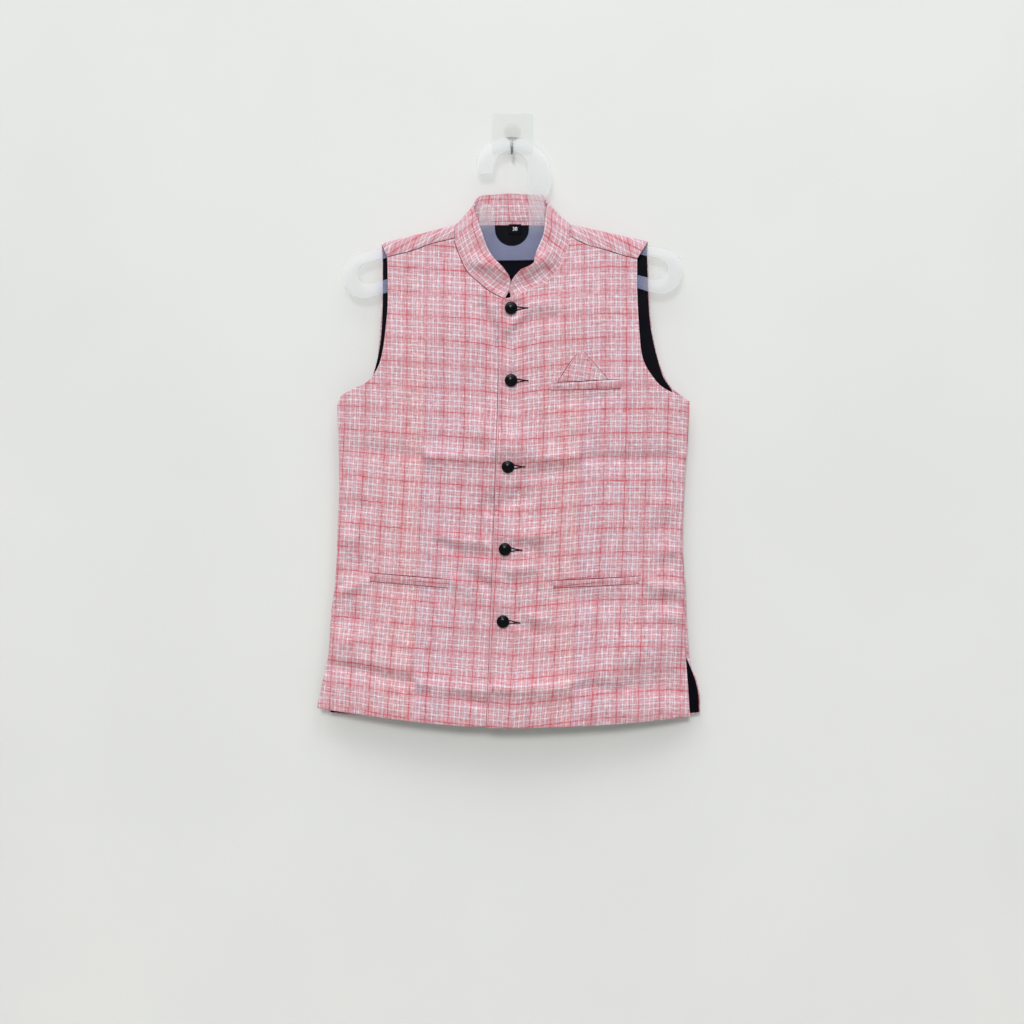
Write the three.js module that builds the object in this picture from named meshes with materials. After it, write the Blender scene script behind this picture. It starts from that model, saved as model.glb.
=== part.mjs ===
// A sleeveless nehru jacket on a flat clear hanger, hung from a stick-on wall hook.
// Millimetres. +X is to the viewer's right, +Y goes into the wall and +Z is up, so the jacket's
// front faces -Y. The origin is the centre of the hook pad's back face, which lies on the wall.
// Panels are drawn flat, in x and z from the level of the neck points, and then given a depth.
import * as THREE from "three";

// ------------------------------------------------------------------------- driving sizes

const GAP = 0.3; // left between two pieces that are sewn or pressed together
const LIE = 0.7; // left under what lies on a panel, because both are faceted
const CLOTH = 1.8; // face cloth with its interfacing
const LINING = 1.0;
const BAND = 2.4; // collar band, two layers and a stiffener
const LABEL = 1.0;
const NECK_DROP = 138.6; // from the pad's centre down to the neck points

// Distances off the wall of each layer's outer face.
const FRONT = { side: 20.5, rise: 19, ventLift: 5, shoulder: 27.5, settle: 140, overlap: 2.6 };
const BACK = { side: 16.6, sink: 8, ventSink: 2.5, neck: 9.2 };
const VENT = { top: -600, run: 100 }; // the side vents open below here
const BELLY = 3; // how quickly the panels leave the side seams

const NECK = { half: 83, flat: 45, rise: 9.2 }; // the back neck between the two neck points
const BUTTON = { radius: 9.1, height: 6.4, sides: 20 };
const HANGER = { depth: 20, thickness: 3.5, ringX: -2, ringZ: 70.4, tilt: 0.9 };
const PAD = { size: 60, corner: 5, thickness: 2 };
const BOSS = { radius: 12.5, height: 6, z: 2.4 };
const WIRE = { radius: 1.75, x: -1, sides: 8, steps: 22 };

// Steps along each edge of the panels, so that pieces that meet have their points in line.
const STEPS = { neck: 6, stand: 1, front: 15, armhole: 11, side: 11, shoulder: 8 };
const BACK_STEPS = { side: 10, armhole: 8, neck: 8 };

const at = (x, z) => new THREE.Vector2(x, z);
const { lerp, smoothstep, degToRad } = THREE.MathUtils;

// ------------------------------------------------------------------------ panel outlines

// Each edge passes through its points, from the top down, or from the armhole inwards.
const RIGHT_FRONT = {
  shoulder: [at(-180, -44.5), at(-145, -36), at(-119, -26.5), at(-83.1, -17.4)],
  neck: [
    at(-83.1, -17.4), at(-78.4, -33), at(-65.4, -63), at(-48.9, -79.7), at(-32.5, -93.4),
    at(-10.6, -105.5),
  ],
  stand: [at(-10.6, -105.5), at(15, -112)],
  front: [at(15, -112), at(12, -374), at(1, -714)],
  armhole: [
    at(-180, -44.5), at(-179, -85), at(-180, -128.5), at(-188.6, -191), at(-206, -221),
    at(-227, -232.5), at(-246, -243), at(-252.4, -258),
  ],
  side: [
    at(-252.4, -258), at(-249.5, -350), at(-251, -422), at(-255, -508), at(-261, -565),
    at(-265, -615), at(-270, -639), at(-281, -692),
  ],
  hem: [at(-281, -692), at(-244, -697), at(-164, -707), at(-84, -715), at(-36, -716), at(1, -714)],
};
const LEFT_FRONT = {
  shoulder: [at(82.4, -15.3), at(104, -26), at(132, -34), at(158, -42), at(179, -47)],
  neck: [
    at(82.4, -15.3), at(79.7, -30.3), at(67.4, -60.5), at(57.8, -71.5), at(44, -83.8),
    at(26.3, -91.9), at(-3.1, -104.5),
  ],
  stand: [at(-3.1, -104.5), at(-18.9, -107.7)],
  front: [at(-18.9, -107.7), at(-20, -232), at(-26.5, -436), at(-32, -594), at(-37, -718)],
  armhole: [
    at(179, -47), at(179, -94), at(181.5, -146), at(186, -187.5), at(198, -212), at(215, -231),
    at(236, -241), at(255, -251),
  ],
  side: [
    at(255, -251), at(252, -313), at(248.5, -352), at(244.5, -434), at(244.5, -474),
    at(247.5, -516), at(249, -606), at(252.4, -660), at(255, -704.5),
  ],
  hem: [at(-37, -718), at(19, -718), at(137, -714), at(255, -704.5)],
};
// The back's edges run from the hem up. Its right side wraps forward round the seam.
const BACK_EDGES = {
  leftSide: [at(-265, -701), at(-264, -650), at(-262, -565), at(-255, -508), at(-251, -422),
    at(-249.5, -350), at(-252.4, -258)],
  leftArmhole: [at(-252.4, -258), at(-230, -240), at(-206, -220), at(-196.5, -194.5),
    at(-193, -172), at(-189, -118), at(-188, -70), at(-188.6, -37.7)],
  rightSide: [at(270.7, -700.6), at(269.7, -672), at(264, -648.6), at(255.7, -624), at(251, -560),
    at(249.5, -516), at(246, -474), at(245.5, -434), at(249, -352), at(255, -251)],
  rightArmhole: [at(255, -251), at(230, -231), at(216, -207), at(207, -177), at(200, -137),
    at(197, -97), at(196, -60), at(195.2, -35)],
  hem: [at(-265, -701), at(-150, -708), at(0, -714), at(150, -711), at(270.7, -700.6)],
};
const LINING_EDGES = {
  leftSide: [at(-262, -699), at(-258, -640), at(-246, -600), at(-237, -508), at(-235, -350),
    at(-238, -262)],
  leftArmhole: [at(-238, -262), at(-226, -242), at(-204.5, -222), at(-191.5, -172),
    at(-187.5, -118), at(-187, -39)],
  rightSide: [at(268.8, -699), at(267.8, -672), at(262, -648.6), at(253, -626), at(240, -590),
    at(232, -474), at(232, -352), at(240, -256)],
  rightArmhole: [at(240, -256), at(228.5, -233), at(214.5, -208), at(198.5, -137), at(194, -37)],
  hem: [at(-262, -699), at(-150, -705), at(0, -711), at(150, -708.5), at(268.8, -699)],
};
const RIDGE = { left: [at(-188.6, -23.7), at(-83, 2.8)], right: [at(83, 3.8), at(195.2, -21)] };

// How the back rolls over the shoulder. Before the ridge, drop is how far a row lies under it;
// past the ridge, share is how far a row has come from the ridge to the forward seam.
const ROLL_UP = [
  { drop: 14, depth: null }, // still on the back's own form
  { drop: 6, depth: 12 },
  { drop: 1.5, depth: 15.5 },
  { drop: 0, depth: 20 },
];
const ROLL_DOWN = [
  { share: 0.12, depth: 24.5 },
  { share: 0.45, depth: 27 },
  { share: 1, depth: 27.5 },
];
const LINING_ROLL = [{ drop: 5, depth: 12.3 }, { drop: 1, depth: 14.6 }];

// The collar's top edge, from its right front end round the back to its left front end.
// Each stretch goes with one stretch of the neck seam. Columns are x, depth off the wall, z.
const off = (x, depth, z) => new THREE.Vector3(x, -depth, z);
const COLLAR_TOP = {
  rightFront: [off(-6, 38.5, -95), off(-3.1, 39.5, -81), off(-10.6, 39.5, -64.6), off(-27, 37.5, -46.8),
    off(-36.6, 35.5, -31.7), off(-43.5, 33.5, -11.2), off(-50, 30.5, 8)],
  rightSide: [off(-50, 30.5, 8), off(-53.5, 27, 18), off(-56, 21.5, 31)],
  back: [off(-56, 21.5, 31), off(-49.4, 13.5, 44.4), off(-26.7, 10.5, 48), off(-2, 10, 49.4),
    off(22.4, 10.5, 48), off(44.5, 13, 47), off(50, 20.5, 35)],
  leftSide: [off(50, 20.5, 35), off(49, 26.5, 21), off(47, 31, 8)],
  leftFront: [off(47, 31, 8), off(44, 33.5, -14), off(37.3, 36, -30.3), off(31.7, 37.5, -44),
    off(28, 38.5, -56.3), off(11.3, 40.5, -65.9), off(0.3, 42, -79.7), off(-2.8, 42, -95)],
};
const COLLAR_ROWS = 3;

// Welts: the ends of the pocket's slit, and how deep the welt is below it at each end.
const WELTS = {
  welt_chest: { from: at(54, -226.7), to: at(155.4, -220.8), deep: [9.5, 13], panel: "left" },
  welt_lower_right: { from: at(-204.8, -498), to: at(-91, -507), deep: [11.5, 11.5], panel: "right" },
  welt_lower_left: { from: at(58, -508.6), to: at(181, -502.8), deep: [10, 10], panel: "left" },
};
const WELT = { thickness: 1.2, steps: 8 };
const POCKET_SQUARE = {
  left: [at(100, -182.6), at(91.4, -187), at(82, -198.8), at(65.3, -225.4)],
  right: [at(101.8, -182.6), at(115, -197.5), at(135.9, -221.3)],
  thickness: 1.4,
  steps: 6,
};
const BUTTONS = [at(-2, -120), at(-2, -223), at(-6.4, -346), at(-10.7, -463.5), at(-13.6, -566.4)];
const LABELS = {
  size_label: { x: 3.5, top: 5, width: 18, height: 14 },
  neck_label: { x: 7, top: -36, width: 44, height: 34 },
};

// ------------------------------------------------------------------------------ materials

const finish = (color, roughness, more = {}) =>
  new THREE.MeshStandardMaterial({ color, roughness, metalness: 0, ...more });
const checkCloth = () => finish(0xdfa3b0, 0.9);
const navyLining = () => finish(0x0b0b18, 0.55);
const blackLabel = () => finish(0x101014, 0.6);
const blackButton = () => finish(0x08080a, 0.18);
const clearPlastic = (roughness) => finish(0xdfe4ea, roughness, { transparent: true, opacity: 0.45 });
const steel = () => finish(0x9a9a9c, 0.3, { metalness: 1 });

const part = new THREE.Group();
const jacket = new THREE.Group();
jacket.position.z = -NECK_DROP;
part.add(jacket);

function add(group, name, geometry, material) {
  const mesh = new THREE.Mesh(geometry, material);
  mesh.name = name;
  group.add(mesh);
  return mesh;
}

// -------------------------------------------------------------------- edges, grids, walls

// Points along a smooth line through the given points, in equal steps.
const along = (points, steps) => new THREE.SplineCurve(points).getSpacedPoints(steps);

// Several edges end to end, each in its own number of steps.
function chain(...edges) {
  const traced = edges.map(([points, steps]) => along(points, steps));
  return traced.flatMap((points, k) => (k ? points.slice(1) : points));
}

// Points spread between four edges. Left and right have one point for each row, and first and
// last, the edges that join them, have one for each column.
function fill(left, right, first, last) {
  const rows = left.length - 1;
  const columns = first.length - 1;
  return left.map((_, i) =>
    first.map((_, j) => {
      const v = i / rows;
      const u = j / columns;
      const corners = [
        [first[0], (1 - u) * (1 - v)],
        [first[columns], u * (1 - v)],
        [last[0], (1 - u) * v],
        [last[columns], u * v],
      ];
      const p = left[i].clone().multiplyScalar(1 - u).addScaledVector(right[i], u);
      p.addScaledVector(first[j], 1 - v).addScaledVector(last[j], v);
      corners.forEach(([corner, weight]) => p.addScaledVector(corner, -weight));
      return p;
    }),
  );
}

// A closed wall on a grid of points. Its faces lie near and far under the points. Rows and
// columns run so that the row direction crossed with the column direction points outwards.
function wall(grid, near, far, present = () => true) {
  const width = grid[0].length;
  const points = grid.flat();
  const normals = points.map(() => new THREE.Vector3());
  const cells = [];
  for (let i = 0; i + 1 < grid.length; i++)
    for (let j = 0; j + 1 < width; j++) {
      const a = i * width + j;
      if (present(i, j)) cells.push([a, a + 1, a + width + 1, a + width]);
    }
  for (const [a, b, c, d] of cells) {
    const diagonal = points[c].clone().sub(points[a]);
    const outwards = points[d].clone().sub(points[b]).cross(diagonal);
    for (const k of [a, b, c, d]) normals[k].add(outwards);
  }
  normals.forEach((n) => n.normalize());
  const face = (depth) =>
    points.flatMap((p, k) => p.clone().addScaledVector(normals[k], -depth).toArray());
  const under = (k) => k + points.length;
  const index = [];
  const rim = new Map();
  for (const [a, b, c, d] of cells) {
    index.push(a, d, b, b, d, c);
    index.push(under(a), under(b), under(d), under(b), under(c), under(d));
    for (const [p, q] of [[a, d], [d, c], [c, b], [b, a]])
      if (!rim.delete(`${q} ${p}`)) rim.set(`${p} ${q}`, [p, q]);
  }
  for (const [p, q] of rim.values()) index.push(q, p, under(p), q, under(p), under(q));
  const geometry = new THREE.BufferGeometry();
  geometry.setAttribute("position", new THREE.Float32BufferAttribute([...face(near), ...face(far)], 3));
  geometry.setIndex(index);
  return geometry;
}

// ------------------------------------------------------------------- the jacket's own form

// x of a side edge at a height, held at the underarm's above it.
function edgeAt(points, z) {
  const next = points.findIndex((p) => p.y <= z);
  if (next === 0) return points[0].x;
  if (next < 0) return points.at(-1).x;
  const [upper, lower] = [points[next - 1], points[next]];
  return lerp(upper.x, lower.x, (upper.y - z) / (upper.y - lower.y));
}

const FRONT_SIDES = [RIGHT_FRONT.side, LEFT_FRONT.side];
const BACK_SIDES = [BACK_EDGES.leftSide.toReversed(), BACK_EDGES.rightSide.toReversed()];

// 0 at the side seams and 1 at the middle.
function fullness(sides, x, z) {
  const edge = edgeAt(x < 0 ? sides[0] : sides[1], z);
  return 1 - Math.abs(x / edge) ** BELLY;
}

const ventOpen = (z) => smoothstep(VENT.top - z, 0, VENT.run);
const shoulderSeamZ = (x) => -18 - (Math.abs(x) - NECK.half) * 0.274;

function frontDepth(x, z) {
  const body = FRONT.side + FRONT.ventLift * ventOpen(z) + FRONT.rise * fullness(FRONT_SIDES, x, z);
  return lerp(FRONT.shoulder, body, smoothstep(shoulderSeamZ(x) - z, 0, FRONT.settle));
}
// The left front lies over the right one at the middle.
const leftFrontDepth = (x, z) => frontDepth(x, z) + FRONT.overlap * (1 - smoothstep(x, 15, 115));
const backDepth = (x, z) =>
  BACK.side - BACK.ventSink * ventOpen(z) - BACK.sink * Math.max(0, fullness(BACK_SIDES, x, z));

const onFront = (p, depth = frontDepth) => new THREE.Vector3(p.x, -depth(p.x, p.y), p.y);
const panelDepth = { left: leftFrontDepth, right: frontDepth };

// --------------------------------------------------------------------------- front panels

const rightFrontGrid = fill(
  chain([RIGHT_FRONT.armhole, STEPS.armhole], [RIGHT_FRONT.side, STEPS.side]),
  chain([RIGHT_FRONT.neck, STEPS.neck], [RIGHT_FRONT.stand, STEPS.stand], [RIGHT_FRONT.front, STEPS.front]),
  along(RIGHT_FRONT.shoulder, STEPS.shoulder),
  along(RIGHT_FRONT.hem, STEPS.shoulder),
).map((row) => row.map((p) => onFront(p)));

const leftFrontGrid = fill(
  chain([LEFT_FRONT.neck, STEPS.neck], [LEFT_FRONT.stand, STEPS.stand], [LEFT_FRONT.front, STEPS.front]),
  chain([LEFT_FRONT.armhole, STEPS.armhole], [LEFT_FRONT.side, STEPS.side]),
  along(LEFT_FRONT.shoulder, STEPS.shoulder),
  along(LEFT_FRONT.hem, STEPS.shoulder),
).map((row) => row.map((p) => onFront(p, leftFrontDepth)));

add(jacket, "front_right", wall(rightFrontGrid, 0, CLOTH), checkCloth());
add(jacket, "front_left", wall(leftFrontGrid, 0, CLOTH), checkCloth());

// ------------------------------------------------------------------------ back and lining

// 1 over the back neck and 0 over the shoulders.
const neckShare = (x) => smoothstep(NECK.half - Math.abs(x), 0, NECK.half - NECK.flat);

// The line over both shoulders and across the back neck.
const ridge = chain(
  [RIDGE.left, STEPS.shoulder],
  [[RIDGE.left[1], RIDGE.right[0]], BACK_STEPS.neck],
  [RIDGE.right, STEPS.shoulder],
).map((p) => at(p.x, p.y + (NECK.rise - RIDGE.left[1].y) * neckShare(p.x)));

// One row of the roll up to the ridge; over the neck it stays at the back neck's depth.
function rollRow({ drop, depth }, line) {
  return line.map((p) => {
    const z = p.y - drop;
    const onBack = backDepth(p.x, z);
    return new THREE.Vector3(p.x, -lerp(depth ?? onBack, Math.min(onBack, BACK.neck), neckShare(p.x)), z);
  });
}

const lowered = (line) => line.map((p) => at(p.x, p.y - ROLL_UP[0].drop));
const backRows = fill(
  chain([BACK_EDGES.leftSide, BACK_STEPS.side], [BACK_EDGES.leftArmhole, BACK_STEPS.armhole]),
  chain([BACK_EDGES.rightSide, BACK_STEPS.side], [BACK_EDGES.rightArmhole, BACK_STEPS.armhole]),
  along(BACK_EDGES.hem, ridge.length - 1),
  lowered(ridge),
).map((row) => row.map((p) => new THREE.Vector3(p.x, -backDepth(p.x, p.y), p.y)));

const upToRidge = ROLL_UP.map((row) => rollRow(row, ridge));
// The forward shoulder seam for each column, a gap behind the fronts' own edge.
const seamPoints = ridge.map((p, j) => {
  if (j <= STEPS.shoulder) return rightFrontGrid[0][j];
  if (j >= STEPS.shoulder + BACK_STEPS.neck) return leftFrontGrid[0][j - STEPS.shoulder - BACK_STEPS.neck];
  return new THREE.Vector3(p.x, 0, p.y);
});
const downToSeam = ROLL_DOWN.map(({ share, depth }) =>
  ridge.map((p, j) => {
    const seam = seamPoints[j];
    const z = lerp(p.y, seam.z + GAP, share);
    return new THREE.Vector3(lerp(p.x, seam.x, share), -depth, z);
  }),
);
const backGrid = [...backRows.slice(0, -1), ...upToRidge, ...downToSeam];
const ridgeRow = backRows.length - 1 + ROLL_UP.length - 1;
const overNeck = (j) => j >= STEPS.shoulder && j < STEPS.shoulder + BACK_STEPS.neck;
add(
  jacket,
  "back",
  wall(backGrid, 0, CLOTH, (i, j) => i < ridgeRow || !overNeck(j)),
  checkCloth(),
);

// The lining hangs inside the back, up to the ridge.
const LINING_COLUMNS = 18;
const liningTop = along(
  [at(-187, -27), at(-83, -0.5), at(-45, 4.5), at(45, 4.5), at(83, 0.5), at(194, -24)],
  LINING_COLUMNS,
);
const liningRows = fill(
  chain([LINING_EDGES.leftSide, BACK_STEPS.side], [LINING_EDGES.leftArmhole, BACK_STEPS.armhole]),
  chain([LINING_EDGES.rightSide, BACK_STEPS.side], [LINING_EDGES.rightArmhole, BACK_STEPS.armhole]),
  along(LINING_EDGES.hem, LINING_COLUMNS),
  liningTop.map((p) => at(p.x, p.y - 12)),
).map((row) => row.map((p) => new THREE.Vector3(p.x, -backDepth(p.x, p.y), p.y)));
const liningRoll = LINING_ROLL.map((row) => rollRow(row, liningTop));
const liningGrid = [...liningRows, ...liningRoll];
const liningFace = CLOTH + GAP;
add(jacket, "back_lining", wall(liningGrid, liningFace, liningFace + LINING), navyLining());

// Bare labels sewn to the lining under the back neck.
const LABEL_STEPS = [0, 0.5, 1];
for (const [name, { x, top, width, height }] of Object.entries(LABELS)) {
  const grid = LABEL_STEPS.map((v) =>
    LABEL_STEPS.map((u) => {
      const z = top - height * (1 - v);
      return new THREE.Vector3(x + width * (u - 0.5), -Math.min(backDepth(x, z), BACK.neck), z);
    }),
  );
  const under = liningFace + LINING + 2 * GAP;
  add(jacket, name, wall(grid, under, under + LABEL), blackLabel());
}

// --------------------------------------------------------------------------------- collar

const seamColumn = (j) => downToSeam.map((row) => row[j]).toReversed().slice(1).concat(upToRidge.at(-1)[j]);
const neckSeam = {
  rightFront: rightFrontGrid.slice(0, STEPS.neck + 1).map((row) => row.at(-1)).toReversed(),
  rightSide: seamColumn(STEPS.shoulder),
  back: upToRidge.at(-1).slice(STEPS.shoulder, STEPS.shoulder + BACK_STEPS.neck + 1),
  leftSide: seamColumn(STEPS.shoulder + BACK_STEPS.neck).toReversed(),
  leftFront: leftFrontGrid.slice(0, STEPS.neck + 1).map((row) => row[0]),
};
// Each stretch starts at the last one's end, so its own first point is left out.
const seamLine = [
  ...neckSeam.rightFront,
  ...neckSeam.rightSide,
  ...neckSeam.back.slice(1),
  ...neckSeam.leftSide.slice(1),
  ...neckSeam.leftFront,
];
const topSteps = {
  rightFront: STEPS.neck,
  rightSide: neckSeam.rightSide.length,
  back: BACK_STEPS.neck,
  leftSide: neckSeam.leftSide.length,
  leftFront: STEPS.neck,
};
const topLine = Object.entries(COLLAR_TOP).flatMap(([name, points], k) =>
  new THREE.CatmullRomCurve3(points).getSpacedPoints(topSteps[name]).slice(k ? 1 : 0),
);
const collarGrid = Array.from({ length: COLLAR_ROWS + 1 }, (_, i) =>
  seamLine.map((seam, j) => {
    const top = topLine[j];
    const start = seam.clone().addScaledVector(top.clone().sub(seam).normalize(), 2 * GAP);
    return start.lerp(top, i / COLLAR_ROWS);
  }),
);
add(jacket, "collar", wall(collarGrid, -GAP, BAND - GAP), checkCloth());

// ----------------------------------------------------------------- pockets, square, buttons

for (const [name, { from, to, deep, panel }] of Object.entries(WELTS)) {
  const grid = [0, 1].map((v) =>
    along([from, to], WELT.steps).map((p, j) =>
      onFront(at(p.x, p.y - v * lerp(deep[0], deep[1], j / WELT.steps)), panelDepth[panel]),
    ),
  );
  add(jacket, name, wall(grid, -LIE - WELT.thickness, -LIE), checkCloth());
}

const squareLeft = along(POCKET_SQUARE.left, POCKET_SQUARE.steps);
const squareRight = along(POCKET_SQUARE.right, POCKET_SQUARE.steps);
const squareGrid = squareLeft.map((left, i) =>
  [0, 0.25, 0.5, 0.75, 1].map((u) => onFront(left.clone().lerp(squareRight[i], u), leftFrontDepth)),
);
add(jacket, "pocket_square", wall(squareGrid, -LIE - POCKET_SQUARE.thickness, -LIE), checkCloth());

// A button is a shallow dome on a short foot, and its face looks along -Y.
const domeProfile = [
  [0, 0],
  [BUTTON.radius * 0.35, 0],
  [BUTTON.radius * 0.4, 1.2],
  [BUTTON.radius * 0.9, 1.5],
  [BUTTON.radius, 2.6],
  [BUTTON.radius * 0.92, 4.2],
  [BUTTON.radius * 0.66, 5.6],
  [BUTTON.radius * 0.34, 6.2],
  [0, BUTTON.height],
].map(([radius, height]) => at(radius, height));
BUTTONS.forEach((p, k) => {
  const geometry = new THREE.LatheGeometry(domeProfile, BUTTON.sides);
  const button = add(jacket, `button_${k + 1}`, geometry, blackButton());
  button.position.set(p.x, -leftFrontDepth(p.x, p.y) - 2 * GAP, p.y);
  button.rotation.x = Math.PI;
});

// --------------------------------------------------------------------------------- hanger

// The hanger's outline about the centre of its ring, in x and z.
const RING = { outer: 59, slot: 24.4, slotTop: 13.9, slotBottom: -73.7 };
const COLUMN = { left: -46.5, right: 47.5, topZ: -48, cap: 11.05, prongEnd: 5.8 };
const ARM = { rootX: 56, rootZ: -70.6, endX: 212.5, endZ: -137.3, end: 33.3, underX: 60, underZ: -121 };
const ARM_SLOT = { inX: 115, inZ: -111, outX: 208, outZ: -134.4, radius: 15 };
const ARM_TOP_ANGLE = degToRad(78);
const ARM_UNDER_ANGLE = degToRad(-108.7);

function hangerShape() {
  const s = new THREE.Shape();
  s.absarc(0, 0, RING.outer, Math.PI / 2, -0.3, true);
  s.quadraticCurveTo(52, -27, COLUMN.right, -32);
  s.lineTo(COLUMN.right, -60);
  s.quadraticCurveTo(COLUMN.right, -69, ARM.rootX, ARM.rootZ);
  s.absarc(ARM.endX, ARM.endZ, ARM.end, ARM_TOP_ANGLE, ARM_UNDER_ANGLE, true);
  s.lineTo(ARM.underX, ARM.underZ);
  s.quadraticCurveTo(50, -118.6, 40, -118.6);
  s.lineTo(-40, -118.6);
  s.quadraticCurveTo(-50, -118.6, -ARM.underX, ARM.underZ);
  s.absarc(-ARM.endX, ARM.endZ, ARM.end, Math.PI - ARM_UNDER_ANGLE, Math.PI - ARM_TOP_ANGLE, true);
  s.lineTo(-ARM.rootX, ARM.rootZ);
  s.quadraticCurveTo(COLUMN.left, -69, COLUMN.left, -62);
  s.lineTo(COLUMN.left, COLUMN.topZ);
  s.absarc(COLUMN.left + COLUMN.cap, COLUMN.topZ, COLUMN.cap, Math.PI, 0, true);
  s.absarc(0, RING.slotBottom, RING.slot, Math.PI, 2 * Math.PI, false);
  s.absarc(0, RING.slotTop, RING.slot, 0, Math.PI, false);
  s.lineTo(-RING.slot, COLUMN.prongEnd + 5);
  s.quadraticCurveTo(-RING.slot, COLUMN.prongEnd, -RING.slot - 5, COLUMN.prongEnd);
  s.lineTo(-42, COLUMN.prongEnd);
  s.quadraticCurveTo(-48, COLUMN.prongEnd, -48.5, 12);
  s.quadraticCurveTo(-51, 30, RING.outer * Math.cos(degToRad(135)), RING.outer * Math.sin(degToRad(135)));
  s.absarc(0, 0, RING.outer, degToRad(135), Math.PI / 2, true);
  for (const side of [1, -1]) s.holes.push(armSlot(side));
  return s;
}

function armSlot(side) {
  const { inX, inZ, outX, outZ, radius } = ARM_SLOT;
  const slope = Math.atan2(outZ - inZ, side * (outX - inX));
  const quarter = Math.PI / 2;
  const hole = new THREE.Path();
  hole.absarc(side * outX, outZ, radius, slope - quarter, slope + quarter);
  hole.absarc(side * inX, inZ, radius, slope + quarter, slope + 3 * quarter);
  hole.closePath();
  return hole;
}

const plate = new THREE.ExtrudeGeometry(hangerShape(), {
  depth: HANGER.thickness,
  bevelEnabled: false,
  curveSegments: 12,
});
plate.translate(0, 0, -HANGER.thickness / 2).rotateX(Math.PI / 2);
const hanger = add(jacket, "hanger", plate, clearPlastic(0.4));
hanger.position.set(HANGER.ringX, -HANGER.depth, HANGER.ringZ);
hanger.rotation.y = degToRad(-HANGER.tilt);

// ------------------------------------------------------------------------------ wall hook

const half = PAD.size / 2;
const square = new THREE.Shape();
square.absarc(half - PAD.corner, half - PAD.corner, PAD.corner, 0, Math.PI / 2);
square.absarc(PAD.corner - half, half - PAD.corner, PAD.corner, Math.PI / 2, Math.PI);
square.absarc(PAD.corner - half, PAD.corner - half, PAD.corner, Math.PI, 1.5 * Math.PI);
square.absarc(half - PAD.corner, PAD.corner - half, PAD.corner, 1.5 * Math.PI, 2 * Math.PI);
const pad = new THREE.ExtrudeGeometry(square, {
  depth: PAD.thickness,
  bevelEnabled: false,
  curveSegments: 4,
});
add(part, "wall_pad", pad.rotateX(Math.PI / 2), clearPlastic(0.1));

const bossProfile = [
  [0, 0],
  [BOSS.radius, 0],
  [BOSS.radius, 2],
  [BOSS.radius * 0.85, 4],
  [BOSS.radius * 0.45, 5.4],
  [0, BOSS.height],
].map(([radius, height]) => at(radius, height));
const boss = add(part, "hook_boss", new THREE.LatheGeometry(bossProfile, 24), clearPlastic(0.08));
boss.position.set(0, -PAD.thickness - GAP, BOSS.z);
boss.rotation.x = Math.PI;

// The wire comes out under the boss, passes behind the hanger's ring and turns up in front of it.
const WIRE_ROUTE = [
  { depth: 6.5, z: -10.6 },
  { depth: 7.5, z: -15 },
  { depth: 11, z: -24 },
  { depth: 15, z: -30.5 },
  { depth: 20, z: -33 },
  { depth: 24, z: -31.3 },
  { depth: 25.7, z: -27 },
  { depth: 25.9, z: -20.5 },
];
const route = new THREE.CatmullRomCurve3(WIRE_ROUTE.map(({ depth, z }) => off(WIRE.x, depth, z)));
const round = new THREE.Shape().absarc(0, 0, WIRE.radius, 0, 2 * Math.PI);
const wire = new THREE.ExtrudeGeometry(round, {
  steps: WIRE.steps,
  extrudePath: route,
  curveSegments: WIRE.sides / 2,
});
add(part, "hook_wire", wire, steel());

export default part;
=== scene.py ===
"""Looks of a nehru jacket that hangs on a frosted hanger from a stick-on wall hook.

The tables are in millimetres in the jacket's own frame: x to the viewer's right, z up from the neck
points, and depth as the distance off the wall. `place` turns them into the shared frame, in metres.
"""
import logging
import math
from bisect import bisect_right
from dataclasses import dataclass
from enum import Enum
from functools import cache
from typing import Callable, Iterable, Sequence

import bmesh
import bpy
from mathutils import Matrix, Vector, noise


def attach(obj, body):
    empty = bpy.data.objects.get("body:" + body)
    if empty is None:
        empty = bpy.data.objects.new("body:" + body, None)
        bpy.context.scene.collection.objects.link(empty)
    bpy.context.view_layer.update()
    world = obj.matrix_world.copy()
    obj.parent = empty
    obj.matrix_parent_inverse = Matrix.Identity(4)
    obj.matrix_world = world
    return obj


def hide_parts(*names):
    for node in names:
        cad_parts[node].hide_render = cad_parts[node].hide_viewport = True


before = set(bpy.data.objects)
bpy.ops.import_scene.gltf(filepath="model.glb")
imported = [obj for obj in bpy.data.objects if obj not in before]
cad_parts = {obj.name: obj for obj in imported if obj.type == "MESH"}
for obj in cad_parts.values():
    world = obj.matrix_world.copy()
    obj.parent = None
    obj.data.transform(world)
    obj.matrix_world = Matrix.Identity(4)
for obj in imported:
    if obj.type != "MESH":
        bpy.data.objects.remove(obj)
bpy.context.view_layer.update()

log = logging.getLogger("nehru_jacket")

Piece = bpy.types.Object
Node = bpy.types.Node
Socket = bpy.types.NodeSocket
Shape = bmesh.types.BMesh
Point = tuple[float, ...]
Colour = tuple[float, float, float, float]

MM = 0.001
NECK_DROP = 138.6
GAP = 0.3
CLOTH = 1.8
LINING = 1.0
BAND = 2.4
CREASE_DEPTH = 2.2
MERGE = 1e-6
UPRIGHT = Matrix.Rotation(math.pi / 2, 4, "X")


# ------------------------------------------------------------------------------ small sums


def place(x: float, depth: float, z: float) -> Vector:
    """Turns a point of the jacket's own frame into metres in the shared frame.

    Args:
        x: Millimetres to the viewer's right.
        depth: Millimetres off the wall.
        z: Millimetres above the neck points.

    Returns:
        The point in metres.
    """
    return Vector((x, -depth, z - NECK_DROP)) * MM


def mixed(start: float, end: float, share: float) -> float:
    """The value a share of the way from start to end."""
    return start + (end - start) * share


def eased(value: float, low: float, high: float) -> float:
    """0 below low, 1 above high, and smooth between them."""
    t = min(1.0, max(0.0, (value - low) / (high - low)))
    return t * t * (3 - 2 * t)


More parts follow.
